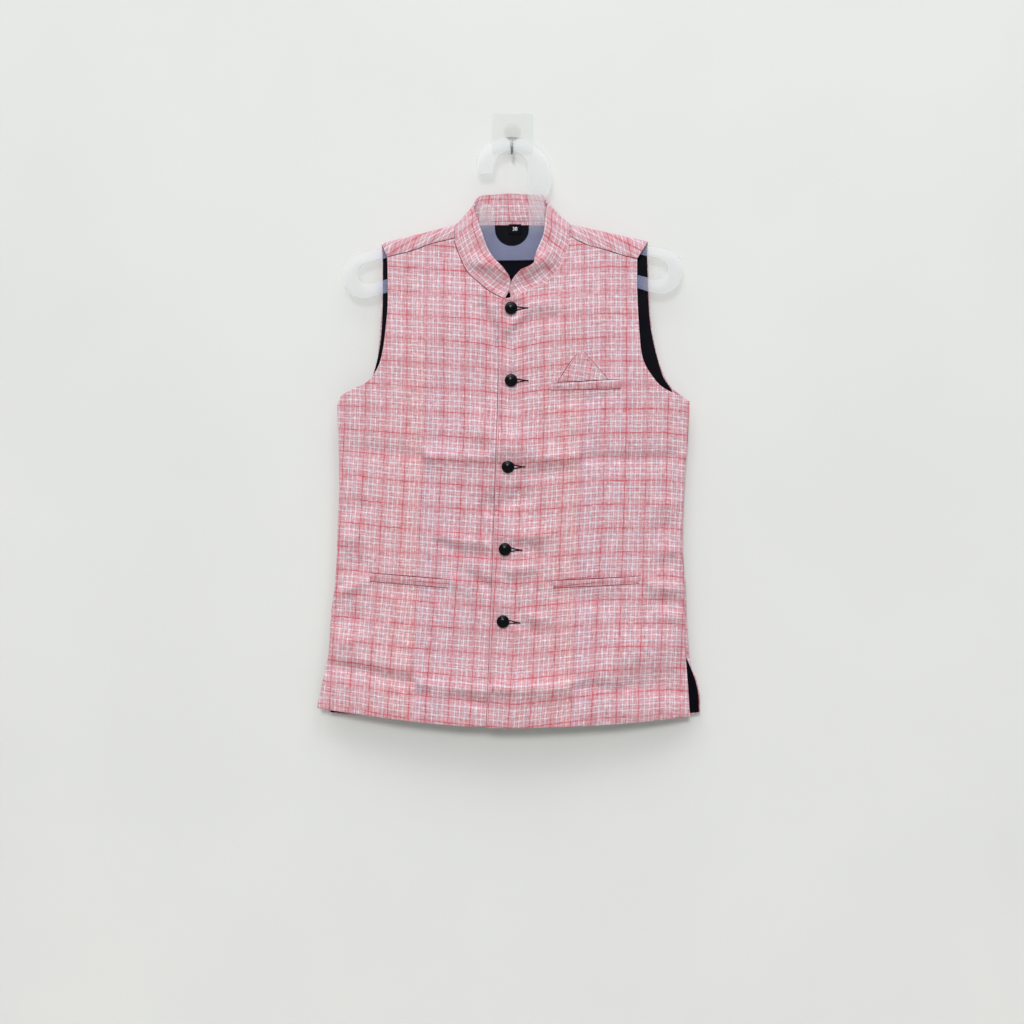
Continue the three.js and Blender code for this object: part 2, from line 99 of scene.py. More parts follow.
def bell(distance: float, width: float) -> float:
    """1 at no distance, falling off softly over the width."""
    return math.exp(-((distance / width) ** 2))


def linear(red: int, green: int, blue: int, alpha: float = 1.0) -> Colour:
    """A colour given in 0 to 255 display steps, as the linear colour that shaders take."""

    def lift(step: int) -> float:
        value = step / 255
        return value / 12.92 if value <= 0.04045 else ((value + 0.055) / 1.055) ** 2.4

    return lift(red), lift(green), lift(blue), alpha


def graded(length: float, step: float, close: Sequence[float] = (0.6, 1.5, 3.0)) -> list[float]:
    """Shares of a length from 0 to 1, in even steps with closer ones at both ends.

    Args:
        length: The whole length in millimetres.
        step: The even step in millimetres.
        close: Distances from each end of the closer steps.

    Returns:
        The shares in order.
    """
    inner = length - 2 * close[-1]
    count = max(2, round(inner / step))
    middle = [close[-1] + inner * k / count for k in range(count + 1)]
    run = [0.0, *close[:-1], *middle, *(length - d for d in reversed(close[:-1])), length]
    return [d / length for d in run]


class Ends(Enum):
    """What a smooth line does past its two ends."""

    HELD = "held"
    CARRIED = "carried"


class Line:
    """A smooth line through points, walked by its length or from point to point."""

    SAMPLES = 20

    def __init__(self, points: Sequence[Point], ends: Ends = Ends.HELD) -> None:
        """Takes the points in order.

        Args:
            points: Two or more points of two or three numbers each.
            ends: Whether the line is held or carried on at its ends.
        """
        own = [Vector(p) for p in points]
        self.spans = len(own) - 1
        if ends is Ends.HELD:
            first, last = own[0], own[-1]
        else:
            first, last = own[0] * 2 - own[1], own[-1] * 2 - own[-2]
        self.knots = [first, *own, last]
        self.even = ends is Ends.HELD
        self.walk = [self.between(k / self.SAMPLES) for k in range(self.spans * self.SAMPLES + 1)]
        self.run = [0.0]
        for a, b in zip(self.walk, self.walk[1:]):
            self.run.append(self.run[-1] + (b - a).length)

    @property
    def length(self) -> float:
        """The line's whole length."""
        return self.run[-1]

    def between(self, position: float) -> Vector:
        """The point at a position counted in points, such as 1.5 between the second and third."""
        span = min(self.spans - 1, max(0, int(position)))
        t = position - span
        p0, p1, p2, p3 = self.knots[span : span + 4]
        gaps = [1.0 if self.even else max(1e-3, (b - a).length ** 0.5) for a, b in
                ((p0, p1), (p1, p2), (p2, p3))]
        leave = ((p1 - p0) / gaps[0] - (p2 - p0) / (gaps[0] + gaps[1]) + (p2 - p1) / gaps[1]) * gaps[1]
        enter = ((p2 - p1) / gaps[1] - (p3 - p1) / (gaps[1] + gaps[2]) + (p3 - p2) / gaps[2]) * gaps[1]
        cubic = p1 * 2 - p2 * 2 + leave + enter
        square = p2 * 3 - p1 * 3 - leave * 2 - enter
        return ((cubic * t + square) * t + leave) * t + p1

    def at(self, share: float) -> Vector:
        """The point at a share of the line's length."""
        want = min(1.0, max(0.0, share)) * self.length
        k = min(len(self.run) - 2, bisect_right(self.run, want) - 1)
        gap = self.run[k + 1] - self.run[k]
        return self.walk[k].lerp(self.walk[k + 1], (want - self.run[k]) / gap if gap else 0.0)


class Chain:
    """Several lines end to end, each with its own part of the way."""

    def __init__(self, *parts: tuple[Sequence[Point], float]) -> None:
        """Takes each part's points and how much of the way it has."""
        whole = sum(part for _, part in parts)
        self.lines = [Line(points) for points, _ in parts]
        self.marks = [0.0]
        for _, part in parts:
            self.marks.append(self.marks[-1] + part / whole)

    def at(self, share: float) -> Vector:
        """The point at a share of the way."""
        k = min(len(self.lines) - 1, max(0, bisect_right(self.marks, share) - 1))
        low, high = self.marks[k], self.marks[k + 1]
        return self.lines[k].at((share - low) / (high - low))


@dataclass(frozen=True)
class Patch:
    """A panel's outline as four edges, filled smoothly between them.

    Left and right run from first to last.
    """

    left: Chain
    right: Chain
    first: Line | Chain
    last: Line | Chain

    def at(self, across: float, along: float) -> Vector:
        """The outline's point at a share across and a share along.

        Args:
            across: 0 on the left edge and 1 on the right one.
            along: 0 on the first edge and 1 on the last one.

        Returns:
            x and z in millimetres.
        """
        sides = self.left.at(along) * (1 - across) + self.right.at(along) * across
        ends = self.first.at(across) * (1 - along) + self.last.at(across) * along
        corners = (
            (self.first.at(0) * (1 - across) + self.first.at(1) * across) * (1 - along)
            + (self.last.at(0) * (1 - across) + self.last.at(1) * across) * along
        )
        return sides + ends - corners


# ------------------------------------------------------------------------ the panels' edges

RIGHT_SHOULDER = [(-180, -44.5), (-145, -36), (-119, -26.5), (-83.1, -17.4)]
RIGHT_NECK = [(-83.1, -17.4), (-78.4, -33), (-65.4, -63), (-48.9, -79.7), (-32.5, -93.4), (-10.6, -105.5)]
RIGHT_STAND = [(-10.6, -105.5), (15, -112)]
RIGHT_EDGE = [(15, -112), (12, -374), (1, -714)]
RIGHT_ARMHOLE = [
    (-180, -44.5), (-179, -85), (-180, -128.5), (-188.6, -191), (-206, -221),
    (-227, -232.5), (-246, -243), (-252.4, -258),
]
RIGHT_SIDE = [
    (-252.4, -258), (-249.5, -350), (-251, -422), (-255, -508), (-261, -565),
    (-265, -615), (-270, -639), (-281, -692),
]
RIGHT_HEM = [(-281, -692), (-244, -697), (-164, -707), (-84, -715), (-36, -716), (1, -714)]

LEFT_SHOULDER = [(82.4, -15.3), (104, -26), (132, -34), (158, -42), (179, -47)]
LEFT_NECK = [
    (82.4, -15.3), (79.7, -30.3), (67.4, -60.5), (57.8, -71.5), (44, -83.8),
    (26.3, -91.9), (-3.1, -104.5),
]
LEFT_STAND = [(-3.1, -104.5), (-18.9, -107.7)]
LEFT_EDGE = [(-18.9, -107.7), (-20, -232), (-26.5, -436), (-32, -594), (-37, -718)]
LEFT_ARMHOLE = [
    (179, -47), (179, -94), (181.5, -146), (186, -187.5), (198, -212),
    (215, -231), (236, -241), (255, -251),
]
LEFT_SIDE = [
    (255, -251), (252, -313), (248.5, -352), (244.5, -434), (244.5, -474),
    (247.5, -516), (249, -606), (252.4, -660), (255, -704.5),
]
LEFT_HEM = [(-37, -718), (19, -718), (137, -714), (255, -704.5)]

BACK_LEFT_SIDE = [
    (-265, -701), (-264, -650), (-262, -565), (-255, -508), (-251, -422), (-249.5, -350), (-252.4, -258),
]
BACK_LEFT_ARMHOLE = [
    (-252.4, -258), (-230, -240), (-206, -220), (-196.5, -194.5),
    (-193, -172), (-189, -118), (-188, -70), (-188.6, -37.7),
]
BACK_RIGHT_SIDE = [
    (270.7, -700.6), (269.7, -672), (264, -648.6), (255.7, -624), (251, -560),
    (249.5, -516), (246, -474), (245.5, -434), (249, -352), (255, -251),
]
BACK_RIGHT_ARMHOLE = [
    (255, -251), (230, -231), (216, -207), (207, -177), (200, -137), (197, -97), (196, -60), (195.2, -35),
]
BACK_HEM = [(-265, -701), (-150, -708), (0, -714), (150, -711), (270.7, -700.6)]

LINING_LEFT_SIDE = [(-262, -699), (-258, -640), (-246, -600), (-237, -508), (-235, -350), (-238, -262)]
LINING_LEFT_ARMHOLE = [
    (-238, -262), (-226, -242), (-204.5, -222), (-191.5, -172), (-187.5, -118), (-187, -39),
]
LINING_RIGHT_SIDE = [
    (268.8, -699), (267.8, -672), (262, -648.6), (253, -626), (240, -590),
    (232, -474), (232, -352), (240, -256),
]
LINING_RIGHT_ARMHOLE = [(240, -256), (228.5, -233), (214.5, -208), (198.5, -137), (194, -37)]
LINING_HEM = [(-262, -699), (-150, -705), (0, -711), (150, -708.5), (268.8, -699)]
LINING_TOP = [(-187, -27), (-83, -0.5), (-45, 4.5), (45, 4.5), (83, 0.5), (194, -24)]

RIDGE_LEFT = [(-188.6, -23.7), (-83, 2.8)]
RIDGE_RIGHT = [(83, 3.8), (195.2, -21)]

# Columns are x, depth off the wall, z, from the right front end round the back.
COLLAR_TOPS = [
    [(-6, 38.5, -95), (-3.1, 39.5, -81), (-10.6, 39.5, -64.6), (-27, 37.5, -46.8), (-36.6, 35.5, -31.7),
     (-43.5, 33.5, -11.2), (-50, 30.5, 8)],
    [(-50, 30.5, 8), (-53.5, 27, 18), (-56, 21.5, 31)],
    [(-56, 21.5, 31), (-49.4, 13.5, 44.4), (-26.7, 10.5, 48), (-2, 10, 49.4), (22.4, 10.5, 48),
     (44.5, 13, 47), (50, 20.5, 35)],
    [(50, 20.5, 35), (49, 26.5, 21), (47, 31, 8)],
    [(47, 31, 8), (44, 33.5, -14), (37.3, 36, -30.3), (31.7, 37.5, -44), (28, 38.5, -56.3),
     (11.3, 40.5, -65.9), (0.3, 42, -79.7), (-2.8, 42, -95)],
]

BUTTON_SPOTS = [(-2, -120), (-2, -223), (-6.4, -346), (-10.7, -463.5), (-13.6, -566.4)]

RIGHT_FRONT = Patch(
    Chain((RIGHT_ARMHOLE, 11), (RIGHT_SIDE, 11)),
    Chain((RIGHT_NECK, 6), (RIGHT_STAND, 1), (RIGHT_EDGE, 15)),
    Line(RIGHT_SHOULDER),
    Line(RIGHT_HEM),
)
LEFT_FRONT = Patch(
    Chain((LEFT_NECK, 6), (LEFT_STAND, 1), (LEFT_EDGE, 15)),
    Chain((LEFT_ARMHOLE, 11), (LEFT_SIDE, 11)),
    Line(LEFT_SHOULDER),
    Line(LEFT_HEM),
)


# ------------------------------------------------------------------- the jacket's own form


def edge_at(points: Sequence[Point], z: float) -> float:
    """x of a side edge at a height, held at the underarm's above it.

    Args:
        points: The edge's points from the top down.
        z: The height in millimetres.

    Returns:
        x in millimetres.
    """
    if z >= points[0][1]:
        return points[0][0]
    for upper, lower in zip(points, points[1:]):
        if z >= lower[1]:
            return mixed(upper[0], lower[0], (upper[1] - z) / (upper[1] - lower[1]))
    return points[-1][0]


@dataclass(frozen=True)
class JacketForm:
    """How far each layer's outer face stands off the wall."""

    side: float = 20.5
    rise: float = 19.0
    vent_lift: float = 5.0
    shoulder: float = 27.5
    settle: float = 140.0
    overlap: float = 2.6
    back_side: float = 16.6
    back_sink: float = 8.0
    back_vent_sink: float = 2.5
    back_neck: float = 9.2
    neck_half: float = 83.0
    neck_flat: float = 45.0
    neck_rise: float = 9.2

    def vent(self, z: float) -> float:
        """How far open the side vents are at a height, from 0 to 1."""
        return eased(-600 - z, 0, 100)

    def fullness(self, left: Sequence[Point], right: Sequence[Point], x: float, z: float) -> float:
        """0 at the side seams and 1 at the middle."""
        edge = edge_at(left if x < 0 else right, z)
        return 1 - abs(x / edge) ** 3

    def front(self, x: float, z: float) -> float:
        """Depth of the fronts' outer face."""
        body = self.side + self.vent_lift * self.vent(z)
        body += self.rise * self.fullness(RIGHT_SIDE, LEFT_SIDE, x, z)
        seam = -18 - (abs(x) - self.neck_half) * 0.274
        return mixed(self.shoulder, body, eased(seam - z, 0, self.settle))

    def left_front(self, x: float, z: float) -> float:
        """Depth of the left front, which lies on the right one at the middle."""
        return self.front(x, z) + self.overlap * (1 - eased(x, 15, 115))

    def back(self, x: float, z: float) -> float:
        """Depth of the back's outer face."""
        full = self.fullness(BACK_LEFT_SIDE[::-1], BACK_RIGHT_SIDE[::-1], x, z)
        return self.back_side - self.back_vent_sink * self.vent(z) - self.back_sink * max(0.0, full)

    def neck_share(self, x: float) -> float:
        """1 over the back neck and 0 over the shoulders."""
        return eased(self.neck_half - abs(x), 0, self.neck_half - self.neck_flat)


FORM = JacketForm()


class Ridge:
    """The line over both shoulders and across the back neck."""

    def __init__(self) -> None:
        """Joins the two shoulders and the back neck."""
        across = [RIDGE_LEFT[1], RIDGE_RIGHT[0]]
        self.chain = Chain((RIDGE_LEFT, 8), (across, 8), (RIDGE_RIGHT, 8))

    def at(self, share: float) -> Vector:
        """x and z at a share of the way, raised over the back neck."""
        p = self.chain.at(share)
        return Vector((p.x, p.y + (FORM.neck_rise - RIDGE_LEFT[1][1]) * FORM.neck_share(p.x)))


RIDGE = Ridge()


# ---------------------------------------------------------------------- creases and folds


@dataclass(frozen=True)
class Crease:
    """A soft ridge or trough along a short path.

    Attributes:
        path: Points as x and z.
        height: How far it stands out, or in where it is below 0.
        above: How wide it is on its upper or left side.
        below: How wide it is on its lower or right side.
    """

    path: tuple[Point, ...]
    height: float
    above: float
    below: float

    def lift(self, x: float, z: float) -> float:
        """How far the crease moves the cloth at a point.

        Args:
            x: Millimetres to the right.
            z: Millimetres up.

        Returns:
            Millimetres outwards.
        """
        reach = 2.6 * max(self.above, self.below)
        xs = [p[0] for p in self.path]
        zs = [p[1] for p in self.path]
        if not min(xs) - reach < x < max(xs) + reach or not min(zs) - reach < z < max(zs) + reach:
            return 0.0
        best, side, share = 1e9, 1.0, 0.0
        count = len(self.path) - 1
        for k in range(count):
            (ax, az), (bx, bz) = self.path[k], self.path[k + 1]
            dx, dz = bx - ax, bz - az
            size = dx * dx + dz * dz
            t = min(1.0, max(0.0, ((x - ax) * dx + (z - az) * dz) / size))
            ex, ez = x - ax - dx * t, z - az - dz * t
            gap = math.hypot(ex, ez)
            if gap < best:
                best, share = gap, (k + t) / count
                side = dx * ez - dz * ex
        width = self.above if side > 0 else self.below
        taper = math.sin(math.pi * min(0.995, max(0.005, share))) ** 0.5
        return self.height * bell(best, width) * taper


@dataclass(frozen=True)
class PackingFolds:
    """Where the jacket was folded flat: two upright lines and two level ones that cross them."""

    left_line: tuple[Point, ...] = ((-119, -60), (-124, -250), (-136, -500), (-142, -718))
    right_line: tuple[Point, ...] = ((103, -60), (100, -250), (91, -500), (84, -718))
    chest: tuple[Point, ...] = (
        (-252, -319), (-210, -320), (-160, -325), (-124, -331), (-60, -332), (0, -334),
        (96, -331), (150, -333), (252, -333),
    )
    hem: tuple[Point, ...] = (
        (-275, -624), (-240, -633), (-209, -637), (-180, -645), (-148, -651), (-138, -653),
        (-90, -661), (-20, -664), (60, -660), (91, -656), (150, -662), (180, -663), (252, -669),
    )

    def level(self, line: Sequence[Point], x: float) -> float:
        """Height of a level fold at x."""
        if x <= line[0][0]:
            return line[0][1]
        for a, b in zip(line, line[1:]):
            if x <= b[0]:
                return mixed(a[1], b[1], (x - a[0]) / (b[0] - a[0]))
        return line[-1][1]

    def upright(self, line: Sequence[Point], z: float) -> float:
        """x of an upright fold at a height."""
        return edge_at(line, z)

    def inside(self, x: float, z: float) -> float:
        """From -1 outside the two upright folds to 1 between them."""
        left = eased(x - self.upright(self.left_line, z), -7, 7)
        right = eased(self.upright(self.right_line, z) - x, -7, 7)
        return 2 * left * right - 1

    def lift(self, x: float, z: float) -> float:
        """How far the folds move the cloth, in millimetres outwards."""
        between = self.inside(x, z)
        wander = noise.noise(Vector((x * 0.021, z * 0.03, 4.0)))
        chest = z - self.level(self.chest, x) - 1.5 * wander
        hem = z - self.level(self.hem, x) - 1.5 * wander
        height = 3.6 + 1.4 * wander
        lift = between * height * math.exp(-abs(chest) / (12 if chest < 0 else 8))
        sharp = math.exp(-abs(hem) / (20 if hem < 0 else 8))
        if between < 0:
            lift += 2.6 * between * (sharp * 2.5 - bell(hem, 42) * 1.5)
        else:
            lift += 3.2 * between * sharp
        for line in (self.left_line, self.right_line):
            gap = abs(x - self.upright(line, z))
            lift -= 1.2 * math.exp(-gap / 7) * eased(-60 - z, 0, 160)
        return lift

    def tint(self, x: float, z: float) -> float:
        """Painted light tint: warmer above 0 left of each upright fold, cooler below 0 right of it."""
        tint = 0.0
        for line in (self.left_line, self.right_line):
            gap = x - self.upright(line, z)
            if gap < 0:
                tint += 0.9 * math.exp(gap / 42) * eased(-gap, -1, 2)
            else:
                tint -= 0.8 * math.exp(-gap / 34)
        return tint * eased(-60 - z, 0, 200)


FOLDS = PackingFolds()


def creases(*rows: tuple) -> tuple[Crease, ...]:
    """Creases from rows of a path, a height, and the widths above and below."""
    return tuple(Crease(*row) for row in rows)


# Puckers from the buttons, the pockets and the side seams.
FRONT_CREASES = creases(
    (((-48, -112), (-30, -146), (-8, -180)), -4.4, 10, 9),
    (((-14, -154), (6, -136), (26, -120)), 2.6, 6, 7),
    (((-62, -128), (-58, -170), (-60, -215)), 1.6, 12, 12),
    (((-66, -288), (-46, -292), (-26, -296)), 2.6, 20, 24),
    (((-36, -322), (0, -322), (40, -320)), 4.4, 22, 8),
    (((-48, -402), (-10, -401), (30, -384)), -4.6, 16, 9),
    (((-2, -447), (26, -446), (58, -446)), 3.4, 15, 7),
    (((-112, -455), (-70, -468), (-22, -475)), -3.4, 7, 6),
    (((-112, -442), (-70, -453), (-28, -457)), 2.4, 7, 6),
    (((14, -455), (32, -464), (50, -480)), -3.6, 6, 6),
    (((-66, -495), (-44, -510), (-22, -525)), -3.8, 7, 6),
    (((-96, -504), (-74, -514), (-60, -530)), 2.4, 6, 6),
    (((-16, -494), (8, -494), (36, -490)), 3.4, 10, 6),
    (((13, -567), (30, -576), (46, -592)), -3.6, 5, 6),
    (((18, -556), (36, -562), (54, -566)), 2.2, 6, 6),
    (((-252, -408), (-232, -408), (-206, -404)), -2.8, 13, 10),
    (((-252, -450), (-236, -448), (-214, -446)), 2.2, 10, 10),
    (((-254, -492), (-234, -490), (-206, -482)), -3.2, 13, 10),
    (((-256, -530), (-234, -522), (-206, -506)), 2.8, 8, 8),
    (((-258, -565), (-236, -562), (-212, -560)), -3.0, 13, 9),
    (((-260, -598), (-240, -596), (-214, -594)), 2.0, 9, 9),
    (((-132, -316), (-119, -330), (-112, -340)), 2.6, 4, 5),
    (((-140, -668), (-128, -670), (-116, -672)), -2.6, 8, 6),
    (((-100, -672), (-48, -682), (-28, -690)), -3.8, 10, 7),
    (((-34, -660), (-16, -660), (6, -660)), 4.0, 9, 6),
    (((0, -658), (40, -658), (92, -656)), 3.2, 6, 14),
    (((84, -650), (93, -656), (106, -650)), 3.0, 4, 4),
    (((246, -404), (224, -400), (196, -402)), 1.6, 12, 10),
    (((246, -436), (226, -432), (200, -434)), -2.8, 12, 9),
    (((248, -470), (230, -466), (208, -468)), 2.0, 8, 8),
    (((248, -492), (228, -488), (204, -488)), -2.4, 9, 8),
    (((250, -524), (226, -520), (192, -512)), 3.2, 8, 8),
    (((250, -544), (226, -540), (200, -538)), -3.0, 8, 8),
    (((250, -566), (228, -560), (204, -560)), 2.2, 7, 8),
    (((182, -498), (193, -508), (200, -524)), 2.4, 4, 5),
    (((130, -606), (200, -604), (256, -600)), 3.4, 30, 30),
    (((150, -654), (214, -656), (256, -660)), -5.0, 30, 8),
    (((-60, -302), (-10, -308), (34, -304)), 2.4, 42, 10),
    (((8, -108), (34, -114), (66, -112)), 1.6, 9, 10),
    (((6, -140), (40, -134), (84, -134)), -1.6, 9, 9),
    (((10, -357), (44, -354), (84, -350)), -2.2, 8, 8),
    (((48, -528), (110, -538), (160, -538)), -2.8, 18, 12),
    (((48, -250), (100, -252), (152, -244)), -2.0, 14, 12),
    (((-200, -520), (-150, -524), (-92, -530)), -2.0, 12, 11),
    (((96, -70), (90, -110), (96, -150)), 1.4, 16, 16),
    (((-104, -70), (-98, -110), (-104, -160)), 1.2, 16, 16),
    (((150, -60), (158, -120), (150, -190)), -1.2, 18, 18),
    (((-150, -60), (-156, -120), (-150, -190)), -1.2, 18, 18),
    (((-52, -500), (-48, -560), (-52, -620)), -3.2, 9, 9),
    (((-40, -380), (-40, -440), (-44, -500)), -1.6, 7, 7),
)
COLLAR_CREASES = creases(
    (((-66, -50), (-44, -56), (-6, -66)), -4.2, 10, 7),
    (((-56, -72), (-36, -80), (-10, -92)), 2.6, 9, 8),
    (((4, -66), (40, -56), (66, -50)), -4.2, 10, 7),
    (((2, -90), (28, -84), (54, -74)), 2.6, 9, 8),
    (((34, -52), (48, -40), (64, -40)), -3.6, 7, 6),
)
BACK_CREASES = creases(
    (((-250, -332), (-60, -338), (0, -340)), -1.4, 14, 12),
    (((0, -340), (120, -336), (250, -334)), 1.2, 14, 12),
    (((-250, -640), (-40, -655), (0, -656)), -1.6, 16, 10),
    (((0, -656), (120, -650), (255, -650)), 1.4, 16, 10),
    (((-124, -40), (-130, -300), (-138, -690)), -1.0, 12, 12),
    (((104, -40), (100, -300), (90, -690)), -1.0, 12, 12),
    (((-240, -430), (-200, -440), (-150, -436)), 1.0, 12, 12),
    (((240, -470), (200, -476), (140, -470)), 1.0, 12, 12),
    (((-60, -90), (0, -70), (60, -90)), 1.2, 20, 20),
)


def ripple(x: float, z: float) -> float:
    """The small unevenness of washed cloth, in millimetres outwards."""
    broad = noise.noise(Vector((x * 0.011, z * 0.009, 1.7)))
    middle = noise.noise(Vector((x * 0.034, z * 0.03, 8.2)))
    fine = noise.noise(Vector((x * 0.09, z * 0.11, 3.1)))
    return 2.0 * broad + 1.0 * middle + 0.3 * fine


def front_lift(x: float, z: float) -> float:
    """All that moves the fronts' cloth, in millimetres outwards."""
    lift = CREASE_DEPTH * sum(crease.lift(x, z) for crease in FRONT_CREASES)
    lift += CREASE_DEPTH * FOLDS.lift(x, z) + ripple(x, z)
    for bx, bz in BUTTON_SPOTS:
        gap = math.hypot(x - bx, (z - bz) * 1.15)
        lift += (-1.8 * bell(gap, 15) + 0.9 * bell(gap - 24, 9)) if gap < 50 else 0.0
    room = max(0.4, FORM.front(x, z) - FORM.back(x, z) - 2 * CLOTH - LINING - 2 * GAP)
    return lift if lift > 0 else -room * (1 - math.exp(lift / room))


def front_threads(x: float, z: float, right: bool) -> tuple[float, float]:
    """Where a point of the fronts lies in the check, in metres across and along the cloth.

    Args:
        x: Millimetres to the right.
        z: Millimetres up.
        right: Whether it is on the wearer's right front.

    Returns:
        Across and along, 0 on a red thread line.
    """
    chest_to_hem = 429
    down = max(0.0, -250 - z) / chest_to_hem
    flare = 8.0 * eased(-560 - z, 0, 110) * (abs(x) / 245) ** 2
    if right:
        lean = -21 * down**1.15 - 6 * bell(x + 160, 60) * eased(-z, 480, 640)
        taken = 7.2 * eased(FOLDS.upright(FOLDS.left_line, z) - x, -6, 6)
        across = x - lean - taken + 37.9
        sag = -0.072 * (234 - abs(x)) + 3 * eased(-150 - x, 0, 90) * eased(-z, 280, 330)
        level = -292.1
    else:
        lean = -19 * down**1.4 + 4 * eased(x, 96, 140) + 6 * down**2 * eased(x, 60, 200)
        taken = 5.6 * eased(x - FOLDS.upright(FOLDS.right_line, z), -6, 6)
        across = x - lean + taken - 15
        sag = -0.088 * max(0.0, 130 - abs(x)) - 0.12 * max(0.0, x - 220)
        level = -296.9
    pull = max(0.0, 1 - abs(x) / 62) ** 2 * eased(z, -330, -150)
    sag += flare - 7 * pull
    along = z - sag - level
    along += 0.9 * noise.noise(Vector((x * 0.012, z * 0.012, 20)))
    across += 0.8 * noise.noise(Vector((x * 0.012, z * 0.012, 30)))
    return across * MM, along * MM


# ------------------------------------------------------------------------------ node graphs

Value = Socket | float | Sequence[float]


class Graph:
    """The nodes of one material or group, with short calls to add and join them."""

    def __init__(self, tree: bpy.types.NodeTree) -> None:
        """Takes the tree to build in."""
        self.tree = tree

    def node(self, kind: str, inputs: dict | None = None, **settings: object) -> Node:
        """Adds a node.

        Args:
            kind: The node's type name.
            inputs: Values or sockets by the input's name or number.
            **settings: The node's own properties.

        Returns:
            The new node.
        """
        made = self.tree.nodes.new(kind)
        for name, value in settings.items():
            setattr(made, name, value)
        self.feed(made, inputs or {})
        return made

    def feed(self, node: Node, inputs: dict) -> None:
        """Joins sockets to a node's inputs, or sets their values.

        Args:
            node: The node.
            inputs: Values or sockets by the input's name or number.
        """
        for key, value in inputs.items():
            if isinstance(value, Socket):
                self.tree.links.new(value, node.inputs[key])
            else:
                node.inputs[key].default_value = value

    def group(self, tree: bpy.types.NodeTree, inputs: dict) -> Node:
        """Adds a shared effect."""
        return self.node("ShaderNodeGroup", inputs, node_tree=tree)

    def math(self, operation: str, a: Value, b: Value = 0.0, c: Value = 0.0) -> Socket:
        """One sum of up to three values."""
        return self.node("ShaderNodeMath", {0: a, 1: b, 2: c}, operation=operation).outputs[0]

    def noise(self, vector: Value, scale: float = 1.0, detail: float = 2.0) -> Socket:
        """Soft noise on a plane, about 0.5."""
        inputs = {"Vector": vector, "Scale": scale, "Detail": detail}
        return self.node("ShaderNodeTexNoise", inputs, noise_dimensions="2D").outputs[0]

    def joined(self, x: Value, y: Value, z: Value = 0.0) -> Socket:
        """A vector from three values."""
        return self.node("ShaderNodeCombineXYZ", {0: x, 1: y, 2: z}).outputs[0]

    def fit(self, value: Value, low: float, high: float, to_low: float,
            to_high: float) -> Socket:
        """Fits a value from one range into another, held at the ends."""
        inputs = {0: value, 1: low, 2: high, 3: to_low, 4: to_high}
        return self.node("ShaderNodeMapRange", inputs).outputs[0]

    def blend(self, share: Value, a: Value, b: Value, way: str = "MIX") -> Socket:
        """A colour mixed from two."""
        made = self.node("ShaderNodeMix", {0: share, 6: a, 7: b}, data_type="RGBA", blend_type=way)
        return made.outputs[2]

    def bands(self, value: Value, marks: Sequence[tuple[float, float, float]]) -> Socket:
        """A strength that rises to each mark and is 0 between them.

        Args:
            value: Where on the run, from 0 to 1.
            marks: Each mark's middle, half width and strength, in order.

        Returns:
            The strength.
        """
        made = self.node("ShaderNodeValToRGB", {0: value})
        stops = [(0.0, 0.0)]
        for middle, half, strength in marks:
            stops += [(middle - 2 * half, 0.0), (middle - 0.7 * half, strength)]
            stops += [(middle + 0.7 * half, strength), (middle + 2 * half, 0.0)]
        elements = made.color_ramp.elements
        elements[0].position, elements[0].color = 0.0, (0, 0, 0, 1)
        elements[1].position, elements[1].color = 1.0, (0, 0, 0, 1)
        for position, strength in stops[1:]:
            elements.new(position).color = (strength, strength, strength, 1)
        return self.node("ShaderNodeSeparateColor", {0: made.outputs[0]}).outputs[0]


